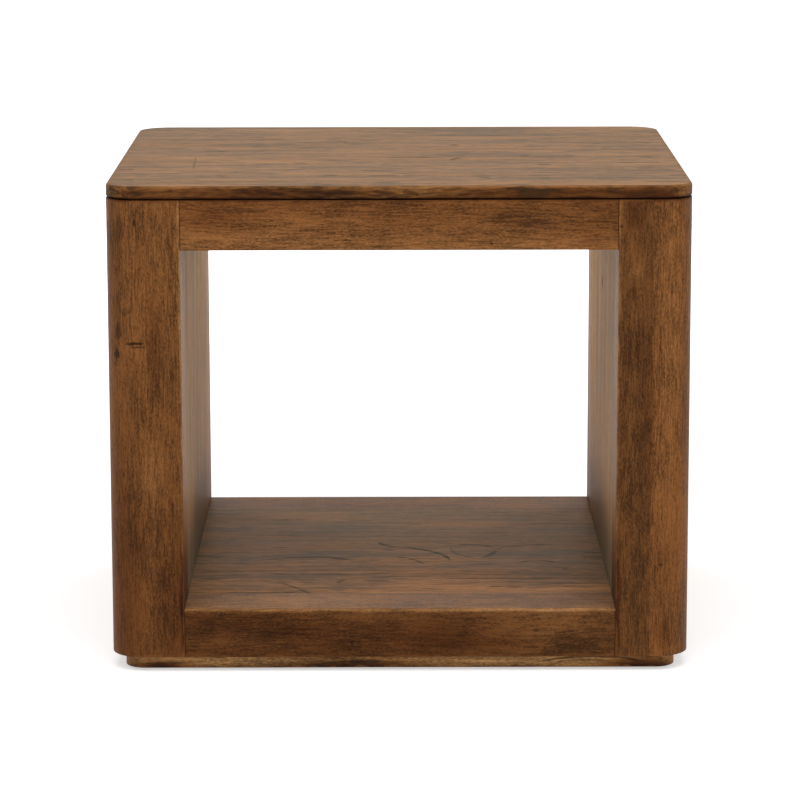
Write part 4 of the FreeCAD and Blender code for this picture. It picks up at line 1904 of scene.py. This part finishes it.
# ---------------------------------------------------------------------- studio
@dataclass(frozen=True)
class Softbox:
    """One soft lamp: where it stands, its size, its power and whether it shows in gloss."""

    name: str
    place: Triple
    width: float
    height: float
    power: float
    glossy: bool = False

    def build(self, aim: Vector) -> None:
        """Add the lamp to the scene.

        Args:
            aim: what it is turned to.
        """
        data = bpy.data.lights.new(self.name, "AREA")
        data.shape = "RECTANGLE"
        data.size, data.size_y = self.width, self.height
        data.energy = self.power
        lamp = bpy.data.objects.new(self.name, data)
        lamp.location = self.place
        lamp.rotation_euler = (aim - Vector(self.place)).to_track_quat("-Z", "Y").to_euler()
        lamp.visible_glossy = self.glossy
        bpy.context.scene.collection.objects.link(lamp)


@dataclass
class Studio:
    """Pale floor, soft light and the camera; angles are in radians, lens and sensor in millimetres."""

    lens: float = 159.6
    sensor: float = 36.0
    camera_place: Triple = (-0.0047, -4.2326, 1.0522)
    camera_reach: float = 60.0
    pitch: float = 0.1852
    turn: float = -0.0017
    roll: float = 0.0020
    fill: float = 0.25
    floor_radius: float = 14.0
    floor_sides: int = 64
    floor_colour: Colour = (0.78, 0.78, 0.78, 1.0)
    floor_roughness: float = 0.9
    white: Colour = (1.0, 1.0, 1.0, 1.0)
    aim: Triple = (0.0, 0.0, 0.3)
    lamps: tuple[Softbox, ...] = (
        Softbox("high in front", (0.0, -1.5, 2.9), 3.0, 1.6, 69.0),
        Softbox("front left", (-2.4, -3.2, 0.9), 1.8, 1.4, 18.0, glossy=True),
        Softbox("front right", (2.4, -3.2, 0.9), 1.8, 1.4, 18.0, glossy=True),
        Softbox("back left", (-2.4, 3.2, 0.7), 1.8, 1.2, 80.0),
        Softbox("back right", (2.4, 3.2, 0.7), 1.8, 1.2, 80.0),
        Softbox("high behind", (0.0, 2.6, 2.6), 3.0, 1.6, 14.0),
    )

    def build(self) -> None:
        """Build the floor, the world, the lamps and the camera."""
        self.build_floor()
        self.build_world()
        for lamp in self.lamps:
            lamp.build(Vector(self.aim))
        self.build_camera()
        bpy.context.scene.view_settings.view_transform = "Standard"

    def build_floor(self) -> None:
        """Build a wide pale floor that keeps the table's shadow and glows white far from it."""
        mesh = bmesh.new()
        bmesh.ops.create_circle(mesh, cap_ends=True, segments=self.floor_sides, radius=self.floor_radius)
        data = bpy.data.meshes.new("floor")
        mesh.to_mesh(data)
        mesh.free()
        floor = bpy.data.objects.new("floor", data)
        bpy.context.scene.collection.objects.link(floor)
        coat = Coat("floor")
        graph = coat.graph
        away = graph.maths("SQRT", graph.dot(coat.spot, coat.spot))
        path = graph.add("ShaderNodeLightPath").outputs
        seen = graph.maths("MULTIPLY", path["Is Camera Ray"], graph.remap(away, 0.5, 3.0, 0.5, 1.0))
        mirrored = graph.maths("ADD", path["Is Glossy Ray"], path["Is Transmission Ray"], clamp=True)
        mirrored = graph.maths("MULTIPLY", mirrored, self.fill)
        data.materials.append(coat.finished(
            Base_Color=self.floor_colour,
            Roughness=self.floor_roughness,
            Specular_IOR_Level=0.0,
            Emission_Color=self.white,
            Emission_Strength=graph.maths("ADD", seen, mirrored),
        ))

    def build_world(self) -> None:
        """Build a world that is white where it is seen and a soft fill elsewhere."""
        world = bpy.data.worlds.new("studio")
        world.use_nodes = True
        world.node_tree.nodes.clear()
        graph = Graph(world.node_tree)
        background = graph.add("ShaderNodeBackground")
        path = graph.add("ShaderNodeLightPath").outputs
        seen = graph.maths("ADD", path["Is Camera Ray"], path["Is Glossy Ray"])
        seen = graph.maths("ADD", seen, path["Is Transmission Ray"], clamp=True)
        strength = graph.maths("MULTIPLY_ADD", seen, 1.0 - self.fill, self.fill)
        graph.fill(background, Color=self.white, Strength=strength)
        output = graph.add("ShaderNodeOutputWorld")
        graph.feed(output.inputs["Surface"], background.outputs["Background"])
        bpy.context.scene.world = world

    def build_camera(self) -> None:
        """Build the camera in front of the table, a little above it."""
        data = bpy.data.cameras.new("camera")
        data.lens = self.lens
        data.sensor_width = self.sensor
        data.sensor_fit = "HORIZONTAL"
        data.clip_end = self.camera_reach
        camera = bpy.data.objects.new("camera", data)
        camera.location = self.camera_place
        camera.rotation_euler = (math.pi / 2 - self.pitch, self.roll, self.turn)
        bpy.context.scene.collection.objects.link(camera)
        bpy.context.scene.camera = camera


def main() -> None:
    """Build the table and the studio."""
    logging.basicConfig(level=logging.INFO, format="%(name)s: %(message)s")
    for part in (TableTop(), Posts(), Rails(), SideWalls(), Shelf(), Plinth(), Fixings(), Studio()):
        part.build()


if __name__ == "__main__":
    main()
